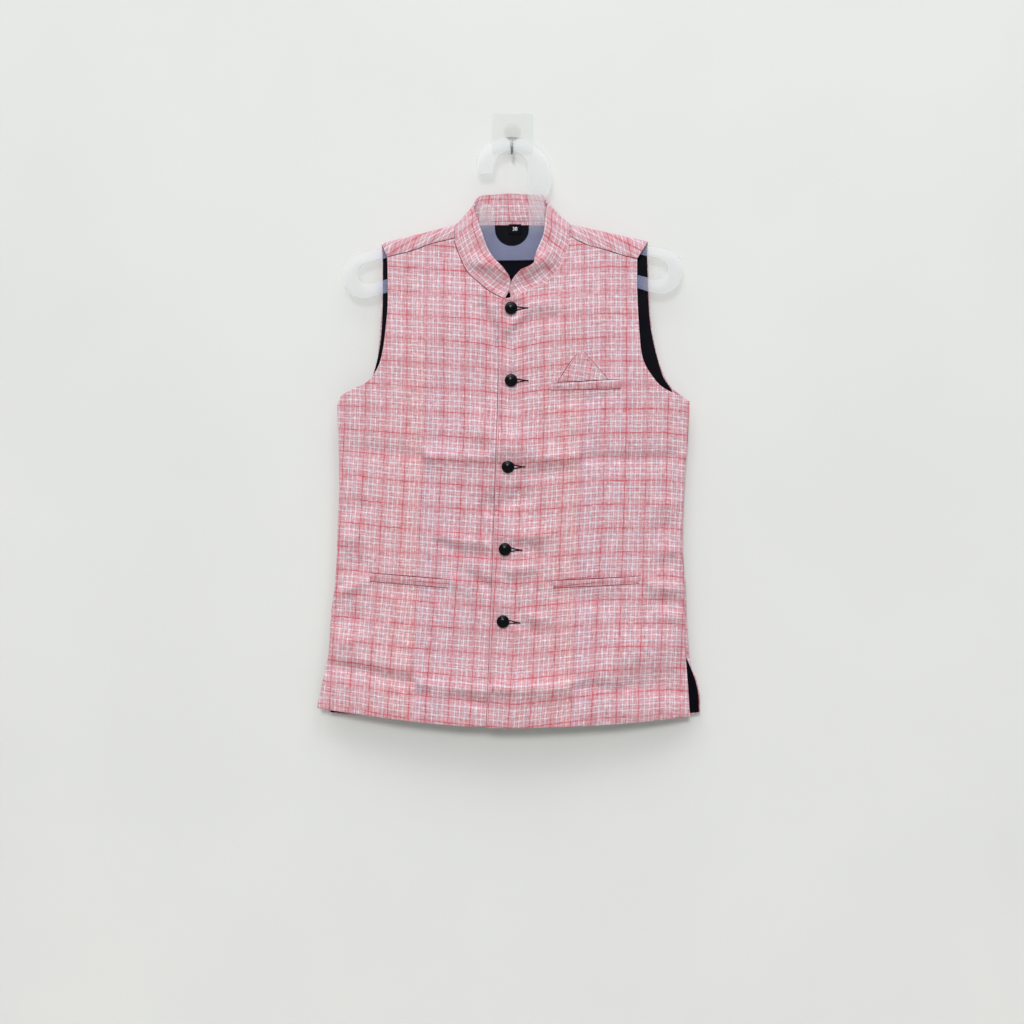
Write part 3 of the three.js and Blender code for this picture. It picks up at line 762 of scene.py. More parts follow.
class Groups:
    """The effects that several materials share, each built once."""

    @staticmethod
    def begin(name: str, takes: Iterable[tuple], gives: Iterable[tuple]) -> tuple:
        """Starts a node group.

        Args:
            name: The group's name.
            takes: Each input's name, socket type and value.
            gives: Each output's name and socket type.

        Returns:
            The graph, its input node and its output node.
        """
        tree = bpy.data.node_groups.new(name, "ShaderNodeTree")
        for label, kind, value in takes:
            socket = tree.interface.new_socket(label, in_out="INPUT", socket_type=kind)
            if value is not None:
                socket.default_value = value
        for label, kind in gives:
            tree.interface.new_socket(label, in_out="OUTPUT", socket_type=kind)
        graph = Graph(tree)
        return graph, graph.node("NodeGroupInput"), graph.node("NodeGroupOutput")

    @classmethod
    @cache
    def thread_lines(cls) -> bpy.types.NodeTree:
        """One direction's coloured threads: white ones in threes, and a broken red one between."""
        takes = (
            ("Across", "NodeSocketFloat", 0.0),
            ("Along", "NodeSocketFloat", 0.0),
            ("Repeat", "NodeSocketFloat", 0.03),
            ("Seed", "NodeSocketFloat", 0.0),
            ("Pink", "NodeSocketColor", (0.6, 0.3, 0.35, 1)),
            ("White", "NodeSocketColor", (0.8, 0.8, 0.8, 1)),
            ("Red", "NodeSocketColor", (0.5, 0.05, 0.08, 1)),
        )
        gives = (("Color", "NodeSocketColor"), ("Red", "NodeSocketFloat"))
        g, take, give = cls.begin("thread_lines", takes, gives)
        across, along, repeat, seed = (take.outputs[k] for k in range(4))
        jitter = g.noise(g.joined(g.math("MULTIPLY", across, 90), g.math("MULTIPLY", along, 200)), 1, 3)
        jitter = g.fit(jitter, 0.2, 0.8, -0.0005, 0.0005)
        run = g.math("DIVIDE", g.math("ADD", across, jitter), repeat)
        run = g.math("ADD", run, 0.12)
        spot = g.math("FRACT", run)
        line = g.math("FLOOR", g.math("MULTIPLY", run, 5))
        lane = g.math("MULTIPLY_ADD", line, 3.71, seed)
        white = g.bands(spot, (
            (0.03, 0.010, 0.25), (0.215, 0.010, 0.3), (0.395, 0.021, 0.95), (0.505, 0.010, 0.35),
            (0.62, 0.021, 0.95), (0.735, 0.010, 0.35), (0.845, 0.021, 0.95),
        ))
        red = g.bands(spot, ((0.05, 0.012, 0.1), (0.12, 0.0165, 1.0), (0.19, 0.012, 0.1)))
        worn = g.noise(g.joined(lane, g.math("MULTIPLY", along, 380)), 1, 3)
        white = g.math("MULTIPLY", white, g.fit(worn, 0.3, 0.6, 0.5, 1.0))
        stretch = g.noise(g.joined(lane, g.math("MULTIPLY", along, 16)), 1, 2)
        slub = g.noise(g.joined(lane, g.math("MULTIPLY", along, 230)), 1, 1)
        patchy = g.math("MULTIPLY", g.fit(stretch, 0.36, 0.56, 0.34, 1.0), g.fit(slub, 0.3, 0.5, 0.62, 1.0))
        red = g.math("MULTIPLY", red, patchy)
        shade = g.noise(g.joined(g.math("MULTIPLY", across, 620), g.math("MULTIPLY", along, 40)), 1, 3)
        deep = g.fit(shade, 0.56, 0.72, 0.0, 0.55)
        pale = g.fit(shade, 0.44, 0.28, 0.0, 0.5)
        pink = g.blend(deep, take.outputs[4], take.outputs[6])
        pink = g.blend(pale, pink, take.outputs[5])
        colour = g.blend(white, pink, take.outputs[5])
        g.feed(give, {0: colour, 1: red})
        return g.tree

    @classmethod
    @cache
    def weave(cls) -> bpy.types.NodeTree:
        """Uneven threads of a woven cloth: brightness, which thread is on top, and height."""
        takes = (
            ("Threads", "NodeSocketVector", None),
            ("Pitch", "NodeSocketFloat", 0.0011),
            ("Unevenness", "NodeSocketFloat", 0.2),
        )
        gives = (("Shade", "NodeSocketFloat"), ("Over", "NodeSocketFloat"), ("Height", "NodeSocketFloat"))
        g, take, give = cls.begin("weave", takes, gives)
        parts = g.node("ShaderNodeSeparateXYZ", {0: take.outputs[0]})
        x = g.math("DIVIDE", parts.outputs[0], take.outputs[1])
        y = g.math("DIVIDE", parts.outputs[1], take.outputs[1])
        upright = g.noise(g.joined(x, g.math("MULTIPLY", y, 0.1)), 1.0, 2)
        level = g.noise(g.joined(g.math("MULTIPLY", x, 0.1), g.math("ADD", y, 31.7)), 1.0, 2)
        cross = g.noise(g.joined(x, y), 0.9, 2)
        both = g.math("ADD", upright, level)
        shade = g.math("MULTIPLY_ADD", g.math("SUBTRACT", both, 1.0), take.outputs[2], 1.0)
        over = g.fit(cross, 0.3, 0.7, 0.3, 0.7)
        height = g.math("ADD", both, g.math("MULTIPLY", cross, 0.6))
        g.feed(give, {0: shade, 1: over, 2: height})
        return g.tree

    @classmethod
    @cache
    def smudges(cls) -> bpy.types.NodeTree:
        """Slow changes over a surface, about 0.5, from Object coordinates."""
        takes = (("Vector", "NodeSocketVector", None), ("Size", "NodeSocketFloat", 0.05))
        g, take, give = cls.begin("smudges", takes, (("Value", "NodeSocketFloat"),))
        scale = g.math("DIVIDE", 1.0, take.outputs[1])
        inputs = {"Vector": take.outputs[0], "Scale": scale, "Detail": 3.0}
        made = g.node("ShaderNodeTexNoise", inputs, noise_dimensions="3D")
        g.feed(give, {0: made.outputs[0]})
        return g.tree


# --------------------------------------------------------------------------------- finishes


class Slot(Enum):
    """The record's material slots."""

    CHECK = "check_cloth"
    LINING = "navy_lining"
    LABEL = "black_label"
    BUTTON = "black_button"
    FROSTED = "frosted_plastic"
    CLEAR = "clear_plastic"
    STEEL = "hook_steel"


@dataclass(frozen=True)
class Finish:
    """A material made from nodes. Each kind says how in `dress`."""

    name: str
    roughness: float = 0.5

    def material(self) -> bpy.types.Material:
        """The finish's material, made on first use."""
        found = bpy.data.materials.get(self.name)
        if found:
            return found
        made = bpy.data.materials.new(self.name)
        made.use_nodes = True
        graph = Graph(made.node_tree)
        shader = made.node_tree.nodes["Principled BSDF"]
        shader.inputs["Roughness"].default_value = self.roughness
        self.dress(graph, shader)
        return made

    def dress(self, g: Graph, shader: Node) -> None:
        """Joins the finish's own nodes to the shader."""
        raise NotImplementedError

    def bump(self, g: Graph, shader: Node, height: Value, distance: float,
             strength: float) -> None:
        """Gives the shader a bump.

        Args:
            g: The material's graph.
            shader: The shader.
            height: The height socket.
            distance: How high 1 is, in metres.
            strength: From 0 to 1.
        """
        bump = g.node("ShaderNodeBump", {"Height": height, "Distance": distance, "Strength": strength})
        g.feed(shader, {"Normal": bump.outputs[0]})

    def smudges(self, g: Graph, size: float) -> tuple[Socket, Socket]:
        """Object coordinates, and slow changes of a size in metres over them."""
        spot = g.node("ShaderNodeTexCoord").outputs["Object"]
        return spot, g.group(Groups.smudges(), {"Vector": spot, "Size": size}).outputs[0]


@dataclass(frozen=True)
class CheckCloth(Finish):
    """Pink linen-look cloth with a fine white check and broken red lines, and a painted light tint beside the
    packing folds.
    """

    name: str = "check_cloth_weave"
    roughness: float = 0.86
    pink: Colour = linear(213, 155, 164)
    white: Colour = linear(238, 244, 254)
    red: Colour = linear(200, 46, 64)
    # Painted light: tints for the two sides of each packing fold, as if lit by lamps of two colours.
    warm_light: Colour = (1.06, 1.0, 0.95, 1.0)
    cool_light: Colour = (0.975, 0.995, 1.035, 1.0)
    repeat_across: float = 0.030
    repeat_along: float = 0.0341
    pitch: float = 0.00095
    overlay: float = 0.74

    def dress(self, g: Graph, shader: Node) -> None:
        """Weaves the two directions of threads together."""
        threads = g.node("ShaderNodeUVMap", uv_map="threads").outputs[0]
        parts = g.node("ShaderNodeSeparateXYZ", {0: threads})
        x, y = parts.outputs[0], parts.outputs[1]
        weave = g.group(Groups.weave(), {"Threads": threads, "Pitch": self.pitch, "Unevenness": 0.85})
        colours = {"Pink": self.pink, "White": self.white, "Red": self.red}
        sides = [
            g.group(Groups.thread_lines(),
                    {"Across": across, "Along": along, "Repeat": repeat, "Seed": seed, **colours})
            for across, along, repeat, seed in (
                (x, y, self.repeat_across, 3.0), (y, x, self.repeat_along, 57.0),
            )
        ]
        colour = g.blend(weave.outputs["Over"], sides[0].outputs[0], sides[1].outputs[0])
        for lines in sides:
            colour = g.blend(g.math("MULTIPLY", lines.outputs[1], self.overlay), colour, self.red)
        grey = g.node("ShaderNodeCombineColor", {k: weave.outputs["Shade"] for k in range(3)})
        colour = g.blend(1.0, colour, grey.outputs[0], "MULTIPLY")
        # Painted light: each side of a packing fold is tinted warmer or cooler, as if lit by lamps of two
        # colours.
        fold = g.node("ShaderNodeAttribute", attribute_name="fold_light_tint").outputs["Fac"]
        warm_light = g.blend(g.fit(fold, 0, 1, 0, 1), (1, 1, 1, 1), self.warm_light)
        cool_light = g.blend(g.fit(fold, 0, -1, 0, 1), (1, 1, 1, 1), self.cool_light)
        colour = g.blend(1.0, g.blend(1.0, colour, warm_light, "MULTIPLY"), cool_light, "MULTIPLY")
        rough = g.fit(weave.outputs["Height"], 0.8, 1.8, self.roughness - 0.06, self.roughness + 0.08)
        g.feed(shader, {"Base Color": colour, "Roughness": rough})
        shader.inputs["Specular IOR Level"].default_value = 0.25
        shader.inputs["Sheen Weight"].default_value = 0.12
        shader.inputs["Sheen Roughness"].default_value = 0.5
        self.bump(g, shader, weave.outputs["Height"], 0.00035, 0.55)


@dataclass(frozen=True)
class WovenCloth(Finish):
    """Plain woven cloth: satin lining, label ribbon, sewing thread, and thin lines of painted highlight and
    painted shade along seams and edges.
    """

    name: str = "lining_satin"
    roughness: float = 0.48
    colour: Colour = linear(2, 2, 10)
    light: Colour = linear(7, 6, 21)
    pitch: float = 0.0006
    shine: float = 0.06

    def dress(self, g: Graph, shader: Node) -> None:
        """Fine threads, and slow changes where the cloth is rubbed."""
        spot, rubbed = self.smudges(g, 0.03)
        parts = g.node("ShaderNodeSeparateXYZ", {0: spot})
        flat = g.joined(parts.outputs[0], parts.outputs[2])
        weave = g.group(Groups.weave(), {"Threads": flat, "Pitch": self.pitch, "Unevenness": 0.5})
        share = g.math("MULTIPLY", weave.outputs["Shade"], g.fit(rubbed, 0.35, 0.7, 0.0, 0.8))
        rough = g.fit(rubbed, 0.3, 0.7, self.roughness - 0.07, self.roughness + 0.1)
        g.feed(shader, {"Base Color": g.blend(share, self.colour, self.light), "Roughness": rough})
        shader.inputs["Specular IOR Level"].default_value = self.shine
        self.bump(g, shader, weave.outputs["Height"], 0.0002, 0.4)


@dataclass(frozen=True)
class GlossButton(Finish):
    """Glossy black moulded button."""

    name: str = "button_gloss"
    roughness: float = 0.16
    colour: Colour = linear(3, 3, 5)
    worn: Colour = linear(9, 9, 12)

    def dress(self, g: Graph, shader: Node) -> None:
        """Black with fine rubs in its gloss."""
        _, rubs = self.smudges(g, 0.004)
        colour = g.blend(g.fit(rubs, 0.5, 0.75, 0, 1), self.colour, self.worn)
        rough = g.fit(rubs, 0.3, 0.7, self.roughness - 0.04, self.roughness + 0.12)
        g.feed(shader, {"Base Color": colour, "Roughness": rough})
        shader.inputs["Specular IOR Level"].default_value = 0.16
        shader.inputs["Coat Weight"].default_value = 0.05
        shader.inputs["Coat Roughness"].default_value = 0.08
        self.bump(g, shader, rubs, 0.0001, 0.15)


@dataclass(frozen=True)
class SheerPlastic(Finish):
    """Plastic that lets what lies behind it through, frosted or clear."""

    name: str = "frosted_hanger"
    roughness: float = 0.35
    colour: Colour = linear(238, 240, 243)
    cloud: Colour = linear(244, 245, 247)
    alpha: float = 0.2
    cloud_size: float = 0.02
    # Painted light: the bluish cast that the frosted plate shows over the dark lining behind it.
    deep: Colour = linear(206, 210, 255)
    rim: float = 0.55

    def dress(self, g: Graph, shader: Node) -> None:
        """An even film with slow clouds in it, and a painted bluish cast where it lies over the dark lining.
        """
        spot, cloud = self.smudges(g, self.cloud_size)
        colour = g.blend(g.fit(cloud, 0.3, 0.7, 0, 1), self.colour, self.cloud)
        parts = g.node("ShaderNodeSeparateXYZ", {0: spot})
        # Painted light: a bluish cast on the plate's lower middle, where the dark lining lies behind it.
        wide = g.fit(g.math("ABSOLUTE", parts.outputs[0]), 0.186, 0.2, 1, 0)
        deep = g.fit(parts.outputs[2], -0.126, -0.150, 0, 1)
        colour = g.blend(g.math("MULTIPLY", wide, deep), colour, self.deep)
        alpha = g.fit(cloud, 0.25, 0.75, self.alpha - 0.02, self.alpha + 0.02)
        side = g.node("ShaderNodeLayerWeight", {"Blend": 0.3}).outputs["Facing"]
        alpha = g.math("MULTIPLY_ADD", g.math("POWER", side, 3.0), self.rim, alpha)
        rough = g.fit(cloud, 0.3, 0.7, self.roughness - 0.03, self.roughness + 0.06)
        g.feed(shader, {"Base Color": colour, "Alpha": alpha, "Roughness": rough})
        shader.inputs["Specular IOR Level"].default_value = 0.3
        self.bump(g, shader, cloud, 0.0002, 0.1)


@dataclass(frozen=True)
class HookSteel(Finish):
    """Bright drawn steel wire."""

    name: str = "hook_steel_wire"
    roughness: float = 0.28
    colour: Colour = linear(176, 176, 178)
    dull: Colour = linear(120, 120, 122)

    def dress(self, g: Graph, shader: Node) -> None:
        """Steel with fine marks."""
        _, marks = self.smudges(g, 0.003)
        colour = g.blend(g.fit(marks, 0.4, 0.7, 0, 1), self.colour, self.dull)
        rough = g.fit(marks, 0.3, 0.7, self.roughness - 0.08, self.roughness + 0.12)
        g.feed(shader, {"Base Color": colour, "Roughness": rough})
        shader.inputs["Metallic"].default_value = 1.0
        self.bump(g, shader, marks, 0.0001, 0.1)


@dataclass(frozen=True)
class PaintedBoard(Finish):
    """Matt painted wall or floor."""

    name: str = "wall_paint"
    roughness: float = 0.7
    colour: Colour = linear(232, 232, 230)
    other: Colour = linear(236, 236, 233)

    def dress(self, g: Graph, shader: Node) -> None:
        """Paint with very slow changes."""
        _, slow = self.smudges(g, 0.4)
        g.feed(shader, {"Base Color": g.blend(g.fit(slow, 0.3, 0.7, 0, 1), self.colour, self.other)})
        shader.inputs["Specular IOR Level"].default_value = 0.2


CHECK = CheckCloth()
SATIN = WovenCloth()
RIBBON = WovenCloth("label_ribbon", 0.6, linear(7, 6, 16), linear(15, 13, 27), 0.0005)
BLACK_THREAD = WovenCloth("buttonhole_thread", 0.7, linear(12, 9, 14), linear(28, 24, 32), 0.0004)
NUMBER_THREAD = WovenCloth("number_thread", 0.7, linear(226, 226, 230), linear(240, 240, 244), 0.0004)
PINK_THREAD = WovenCloth("pink_thread", 0.75, linear(212, 150, 162), linear(226, 176, 186), 0.0004)
# Painted light: lighter and darker copies of the pink cloth, laid as thin lines of painted shade and painted
# highlight along seams, edges and slits.
SEAM_SHADE = WovenCloth("seam_shade", 0.9, linear(136, 44, 58), linear(164, 74, 86), 0.0006)
EDGE_SHADE = WovenCloth("edge_shade", 0.9, linear(186, 112, 124), linear(204, 134, 144), 0.0006)
EDGE_HIGHLIGHT = WovenCloth("seam_highlight", 0.85, linear(226, 190, 198), linear(238, 214, 220), 0.0006)
POCKET_SHADE = WovenCloth("pocket_shade", 0.9, linear(84, 30, 42), linear(118, 52, 62), 0.0006)
GLOSS = GlossButton()
FROSTED = SheerPlastic()
CLEAR = SheerPlastic("clear_pad", 0.12, linear(206, 222, 214), linear(218, 230, 222), 0.06, 0.05, rim=0.2)
BOSS_CLEAR = SheerPlastic("clear_boss", 0.1, linear(244, 248, 248), linear(252, 254, 254), 0.03, 0.004,
                          rim=0.08)
STEEL = HookSteel()
WALL = PaintedBoard()
FLOOR = PaintedBoard("floor_paint", 0.6, linear(186, 184, 176), linear(192, 190, 182))


# ------------------------------------------------------------------------------- making cloth


@dataclass(frozen=True)
class Spot:
    """One point of a sheet of cloth.

    Attributes:
        at: Where it is, in metres.
        threads: Where it lies in the cloth's check, in metres.
        tint: Painted light tint by the packing folds, warmer above 0 and cooler below 0.
    """

    at: Vector
    threads: tuple[float, float]
    tint: float = 0.0


def lay_sheet(columns: Sequence[float], rows: Sequence[float], spot: Callable[[float, float], Spot],
              turned: bool = False) -> Shape:
    """Lays a fine grid on a form.

    Args:
        columns: Shares across, from 0 to 1.
        rows: Shares along, in rising order.
        spot: Gives the point at a share across and along.
        turned: Whether the faces are turned over.

    Returns:
        The sheet as one layer.
    """
    bm = bmesh.new()
    wide, tall = len(columns) - 1, len(rows) - 1
    bmesh.ops.create_grid(bm, x_segments=wide, y_segments=tall, size=0.5)
    threads = bm.loops.layers.uv.new("threads")
    # Each point's painted light tint beside the packing folds.
    tint = bm.verts.layers.float.new("fold_light_tint")
    spots = {}
    for vert in bm.verts:
        i = round((vert.co.x + 0.5) * wide)
        j = round((vert.co.y + 0.5) * tall)
        found = spot(columns[i], rows[j])
        spots[vert] = found
        vert.co = found.at
        vert[tint] = found.tint
    for face in bm.faces:
        for loop in face.loops:
            loop[threads].uv = spots[loop.vert].threads
    if turned:
        bmesh.ops.reverse_faces(bm, faces=bm.faces[:])
    return bm


def smooth(bm: Shape) -> None:
    """Shades every face smoothly."""
    for face in bm.faces:
        face.smooth = True


def linked(name: str, data: bpy.types.ID) -> Piece:
    """A new object in the scene."""
    made = bpy.data.objects.new(name, data)
    bpy.context.scene.collection.objects.link(made)
    return made


def lathe(profile: Sequence[Point], steps: int) -> Shape:
    """Spins a profile round z.

    Args:
        profile: Radius and height of each point, in millimetres, from the foot to the top.
        steps: How many sides the turned shape has.

    Returns:
        The closed shape, in metres.
    """
    bm = bmesh.new()
    knots = [bm.verts.new((radius * MM, 0, height * MM)) for radius, height in profile]
    edges = [bm.edges.new(pair) for pair in zip(knots, knots[1:])]
    bmesh.ops.spin(bm, geom=[*knots, *edges], cent=(0, 0, 0), axis=(0, 0, 1), dvec=(0, 0, 0),
                   angle=math.tau, steps=steps, use_merge=True, use_duplicate=False)
    bmesh.ops.remove_doubles(bm, verts=bm.verts[:], dist=MERGE)
    bmesh.ops.recalc_face_normals(bm, faces=bm.faces[:])
    return bm


def finished(bm: Shape, name: str, slot: Slot, finishes: Sequence[Finish],
             replaces: Sequence[str] = (), soft: bool = True) -> Piece:
    """Makes a piece from a bmesh and fixes it to the body.

    Args:
        bm: The shape, which is freed.
        name: The piece's name.
        slot: The record's slot of its finish; not used.
        finishes: Its materials in order.
        replaces: The CAD nodes that it stands for.
        soft: Whether it is shaded smoothly.

    Returns:
        The piece.
    """
    if soft:
        smooth(bm)
    mesh = bpy.data.meshes.new(name)
    bm.to_mesh(mesh)
    bm.free()
    return mounted(mesh, name, slot, finishes, replaces)


def mounted(mesh: bpy.types.Mesh, name: str, slot: Slot, finishes: Sequence[Finish],
            replaces: Sequence[str] = ()) -> Piece:
    """Makes a piece from a mesh and fixes it to the body. It takes what `finished` takes."""
    piece = linked(name, mesh)
    mesh.materials.clear()
    for finish in finishes:
        mesh.materials.append(finish.material())
    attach(piece, "root")
    if replaces:
        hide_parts(*replaces)
    log.info("%s: %d faces", name, len(mesh.polygons))
    return piece


def thicken(piece: Piece, thickness: float, inner: int = 0) -> None:
    """Gives a sheet its thickness on the inner side.

    Args:
        piece: The sheet.
        thickness: Millimetres.
        inner: How many slots on the inner face's material is.
    """
    solid = piece.modifiers.new("thickness", "SOLIDIFY")
    solid.thickness = thickness * MM
    solid.offset = -1.0
    solid.use_even_offset = True
    solid.material_offset = inner
    solid.material_offset_rim = 0


def tube(name: str, points: Sequence[Vector], radius: float, slot: Slot, finish: Finish,
         closed: bool = False, sides: int = 2) -> Piece:
    """Makes a round thread or wire along points.

    Args:
        name: The piece's name.
        points: Points in metres.
        radius: Metres.
        slot: The record's slot; not used.
        finish: Its material.
        closed: Whether the ends join.
        sides: How round it is.

    Returns:
        The piece.
    """
    curve = bpy.data.curves.new(name, "CURVE")
    curve.dimensions = "3D"
    curve.bevel_depth = radius
    curve.bevel_resolution = sides
    curve.use_fill_caps = not closed
    run = curve.splines.new("POLY")
    run.points.add(len(points) - 1)
    run.use_cyclic_u = closed
    for knot, point in zip(run.points, points):
        knot.co = (*point, 1.0)
    return from_curve(curve, name, slot, (finish,))


def from_curve(
    curve: bpy.types.Curve,
    name: str,
    slot: Slot,
    finishes: Sequence[Finish],
    replaces: Sequence[str] = (),
    turn: Matrix = Matrix.Identity(4),
) -> Piece:
    """Makes a piece from a curve or text.

    Args:
        curve: The curve, which is removed.
        name: The piece's name.
        slot: The record's slot; not used.
        finishes: Its materials.
        replaces: The CAD nodes that it stands for.
        turn: Puts the shape in its place.

    Returns:
        The piece.
    """
    holder = linked(name + "_line", curve)
    bpy.context.view_layer.update()
    mesh = bpy.data.meshes.new_from_object(holder.evaluated_get(bpy.context.evaluated_depsgraph_get()))
    bpy.data.objects.remove(holder)
    bpy.data.curves.remove(curve)
    mesh.transform(turn)
    mesh.name = name
    bm = bmesh.new()
    bm.from_mesh(mesh)
    bmesh.ops.remove_doubles(bm, verts=bm.verts[:], dist=MERGE)
    bmesh.ops.recalc_face_normals(bm, faces=bm.faces[:])
    smooth(bm)
    bm.to_mesh(mesh)
    bm.free()
    return mounted(mesh, name, slot, finishes, replaces)


class Held(Enum):
    """How a sheet of cloth is held."""

    HUNG = "hung"
    LAID = "laid"
    FOLDED = "folded"


# ------------------------------------------------------------------------------ the jacket


@dataclass
class FrontPanel:
    """One front, cut to its outline and laid on the jacket's form.

    Attributes:
        name: The piece's name.
        node: The CAD node that it stands for.
        patch: Its outline.
        depth: How far off the wall its outer face is.
        flat: Its cut's width and length, in metres; not used.
        area: Its cut's area, in square metres; not used.
        right: Whether it is the wearer's right front.
        turned_in: How far its rim turns towards the wall.
        roll: How far the left front's own edge stands out.
    """

    name: str
    node: str
    patch: Patch
    depth: Callable[[float, float], float]
    flat: tuple[float, float]
    area: float
    right: bool
    width: float = 290.0
    length: float = 710.0
    step: float = 3.6
    turned_in: float = 0.9
    roll: float = 1.6

    def spot(self, across: float, along: float) -> Spot:
        """The cloth at a share across and a share down from the shoulder."""
        p = self.patch.at(across, 1 - along)
        x, z = p.x, p.y
        edge = min(across, 1 - across) * self.width
        edge = min(edge, min(along, 1 - along) * self.length)
        depth = self.depth(x, z) + front_lift(x, z) * eased(edge, -6, 16)
        depth -= self.turned_in * math.exp(-edge / 1.1)
        if not self.right:
            depth += self.roll * math.exp(-across * self.width / 6) * eased(along, 0.27, 0.33)
        return Spot(place(x, depth, z), front_threads(x, z, self.right), FOLDS.tint(x, z))

    def build(self) -> Piece:
        """Makes the panel."""
        columns = graded(self.width, self.step)
        rows = graded(self.length, self.step)
        bm = lay_sheet(columns, rows, self.spot)
        piece = finished(bm, self.name, Slot.CHECK, (CHECK, SATIN), (self.node,))
        thicken(piece, CLOTH, inner=1)
        return piece


@dataclass
class BackPanel:
    """The back, in one piece that rolls over both shoulders to the forward seams."""

    body_step: float = 4.5
    roll_rows: int = 4
    neck_columns: tuple[float, float] = (1 / 3, 2 / 3)

    def __post_init__(self) -> None:
        """Sets up the outline."""
        self.patch = Patch(
            Chain((BACK_LEFT_SIDE, 10), (BACK_LEFT_ARMHOLE, 8)),
            Chain((BACK_RIGHT_SIDE, 10), (BACK_RIGHT_ARMHOLE, 8)),
            Line(BACK_HEM),
            Lowered(14),
        )
        self.shoulders = (Line(RIGHT_SHOULDER), Line(LEFT_SHOULDER))
        self.rolls: dict[float, Line] = {}

    def seam(self, across: float) -> Vector | None:
        """The forward shoulder seam at a share across, or nothing over the neck."""
        low, high = self.neck_columns
        if across <= low + MERGE:
            return self.shoulders[0].at(across / low)
        if across >= high - MERGE:
            return self.shoulders[1].at((across - high) / (1 - high))
        return None

    def roll(self, across: float) -> Line:
        """The way over the shoulder at a share across, as x, depth and z."""
        if across in self.rolls:
            return self.rolls[across]
        ridge = RIDGE.at(across)
        points = []
        for drop, depth in ((26, None), (14, None), (6, 12), (1.5, 15.5), (0, 20)):
            own = FORM.back(ridge.x, ridge.y - drop)
            flat = mixed(own if depth is None else depth, min(own, FORM.back_neck), FORM.neck_share(ridge.x))
            points.append((ridge.x, flat, ridge.y - drop))
        seam = self.seam(across)
        if seam is not None:
            for share, depth in ((0.12, 24.5), (0.45, 27), (1, 27.5)):
                z = mixed(ridge.y, seam.y + GAP, share)
                points.append((mixed(ridge.x, seam.x, share), depth, z))
        self.rolls[across] = Line(points)
        return self.rolls[across]

    def spot(self, across: float, along: float) -> Spot:
        """The cloth at a share across; along is 0 to 1 on the body and 1 to 7 on the roll."""
        if along <= 1:
            p = self.patch.at(across, along)
            x, z = p.x, p.y
            edge = min(across, 1 - across) * 500
            lift = sum(crease.lift(x, z) for crease in BACK_CREASES) + 0.5 * ripple(x + 400, z)
            lift *= eased(edge, 0, 20) * eased(1 - along, 0, 0.06)
            depth = FORM.back(x, z) - lift + 0.7 * math.exp(-edge / 1.2)
            return Spot(place(x, max(2.5, depth), z), (x * MM, z * MM))
        line = self.roll(across)
        over = self.seam(across) is None
        t = min(along, 4.0 if over else 7.0)
        p = line.between(t)
        start = line.between(1)
        run = (p - start).length
        if t > 4:
            run = (line.between(4) - start).length + (p - line.between(4)).length
        slant = 0.75 * run * (1 if p.x > 0 else -1) * (1 - FORM.neck_share(p.x))
        edge = (7 - t) * 8
        depth = p.y - (0.9 * math.exp(-edge / 1.4) if not over else 0)
        return Spot(place(p.x, depth, p.z), ((start.x - slant) * MM, (start.z + run) * MM))

    def build(self) -> Piece:
        """Makes the back, and takes away the cloth over the neck opening."""
        columns = sorted({*graded(500, self.body_step), *self.neck_columns})
        rows = graded(690, self.body_step)
        count = self.roll_rows
        rows += [1 + k / count for k in range(1, 5 * count + 1)]
        rows += [6 + k / 8 for k in range(1, 8)] + [6.94, 7.0]
        bm = lay_sheet(columns, rows, self.spot, turned=True)
        spans = self.neck_faces(bm, columns, rows.index(4.0))
        bmesh.ops.delete(bm, geom=spans, context="FACES")
        bmesh.ops.remove_doubles(bm, verts=bm.verts[:], dist=MERGE)
        piece = finished(bm, "back_panel", Slot.CHECK, (CHECK,), ("back",))
        thicken(piece, CLOTH)
        return piece

    def neck_faces(self, bm: Shape, columns: Sequence[float],
                   ridge_row: int) -> list[bmesh.types.BMFace]:
        """The faces past the ridge over the neck, on a sheet as it was laid, row by row."""
        low, high = self.neck_columns
        bm.verts.index_update()
        found = []
        for face in bm.faces:
            corners = [divmod(vert.index, len(columns)) for vert in face.verts]
            row, column = min(j for j, _ in corners), min(i for _, i in corners)
            if row >= ridge_row and low - MERGE <= columns[column] < high - MERGE:
                found.append(face)
        return found


class Lowered:
    """The ridge, a given drop below it."""

    def __init__(self, drop: float) -> None:
        """Takes the drop in millimetres."""
        self.drop = drop

    def at(self, share: float) -> Vector:
        """x and z at a share of the way."""
        p = RIDGE.at(share)
        return Vector((p.x, p.y - self.drop))


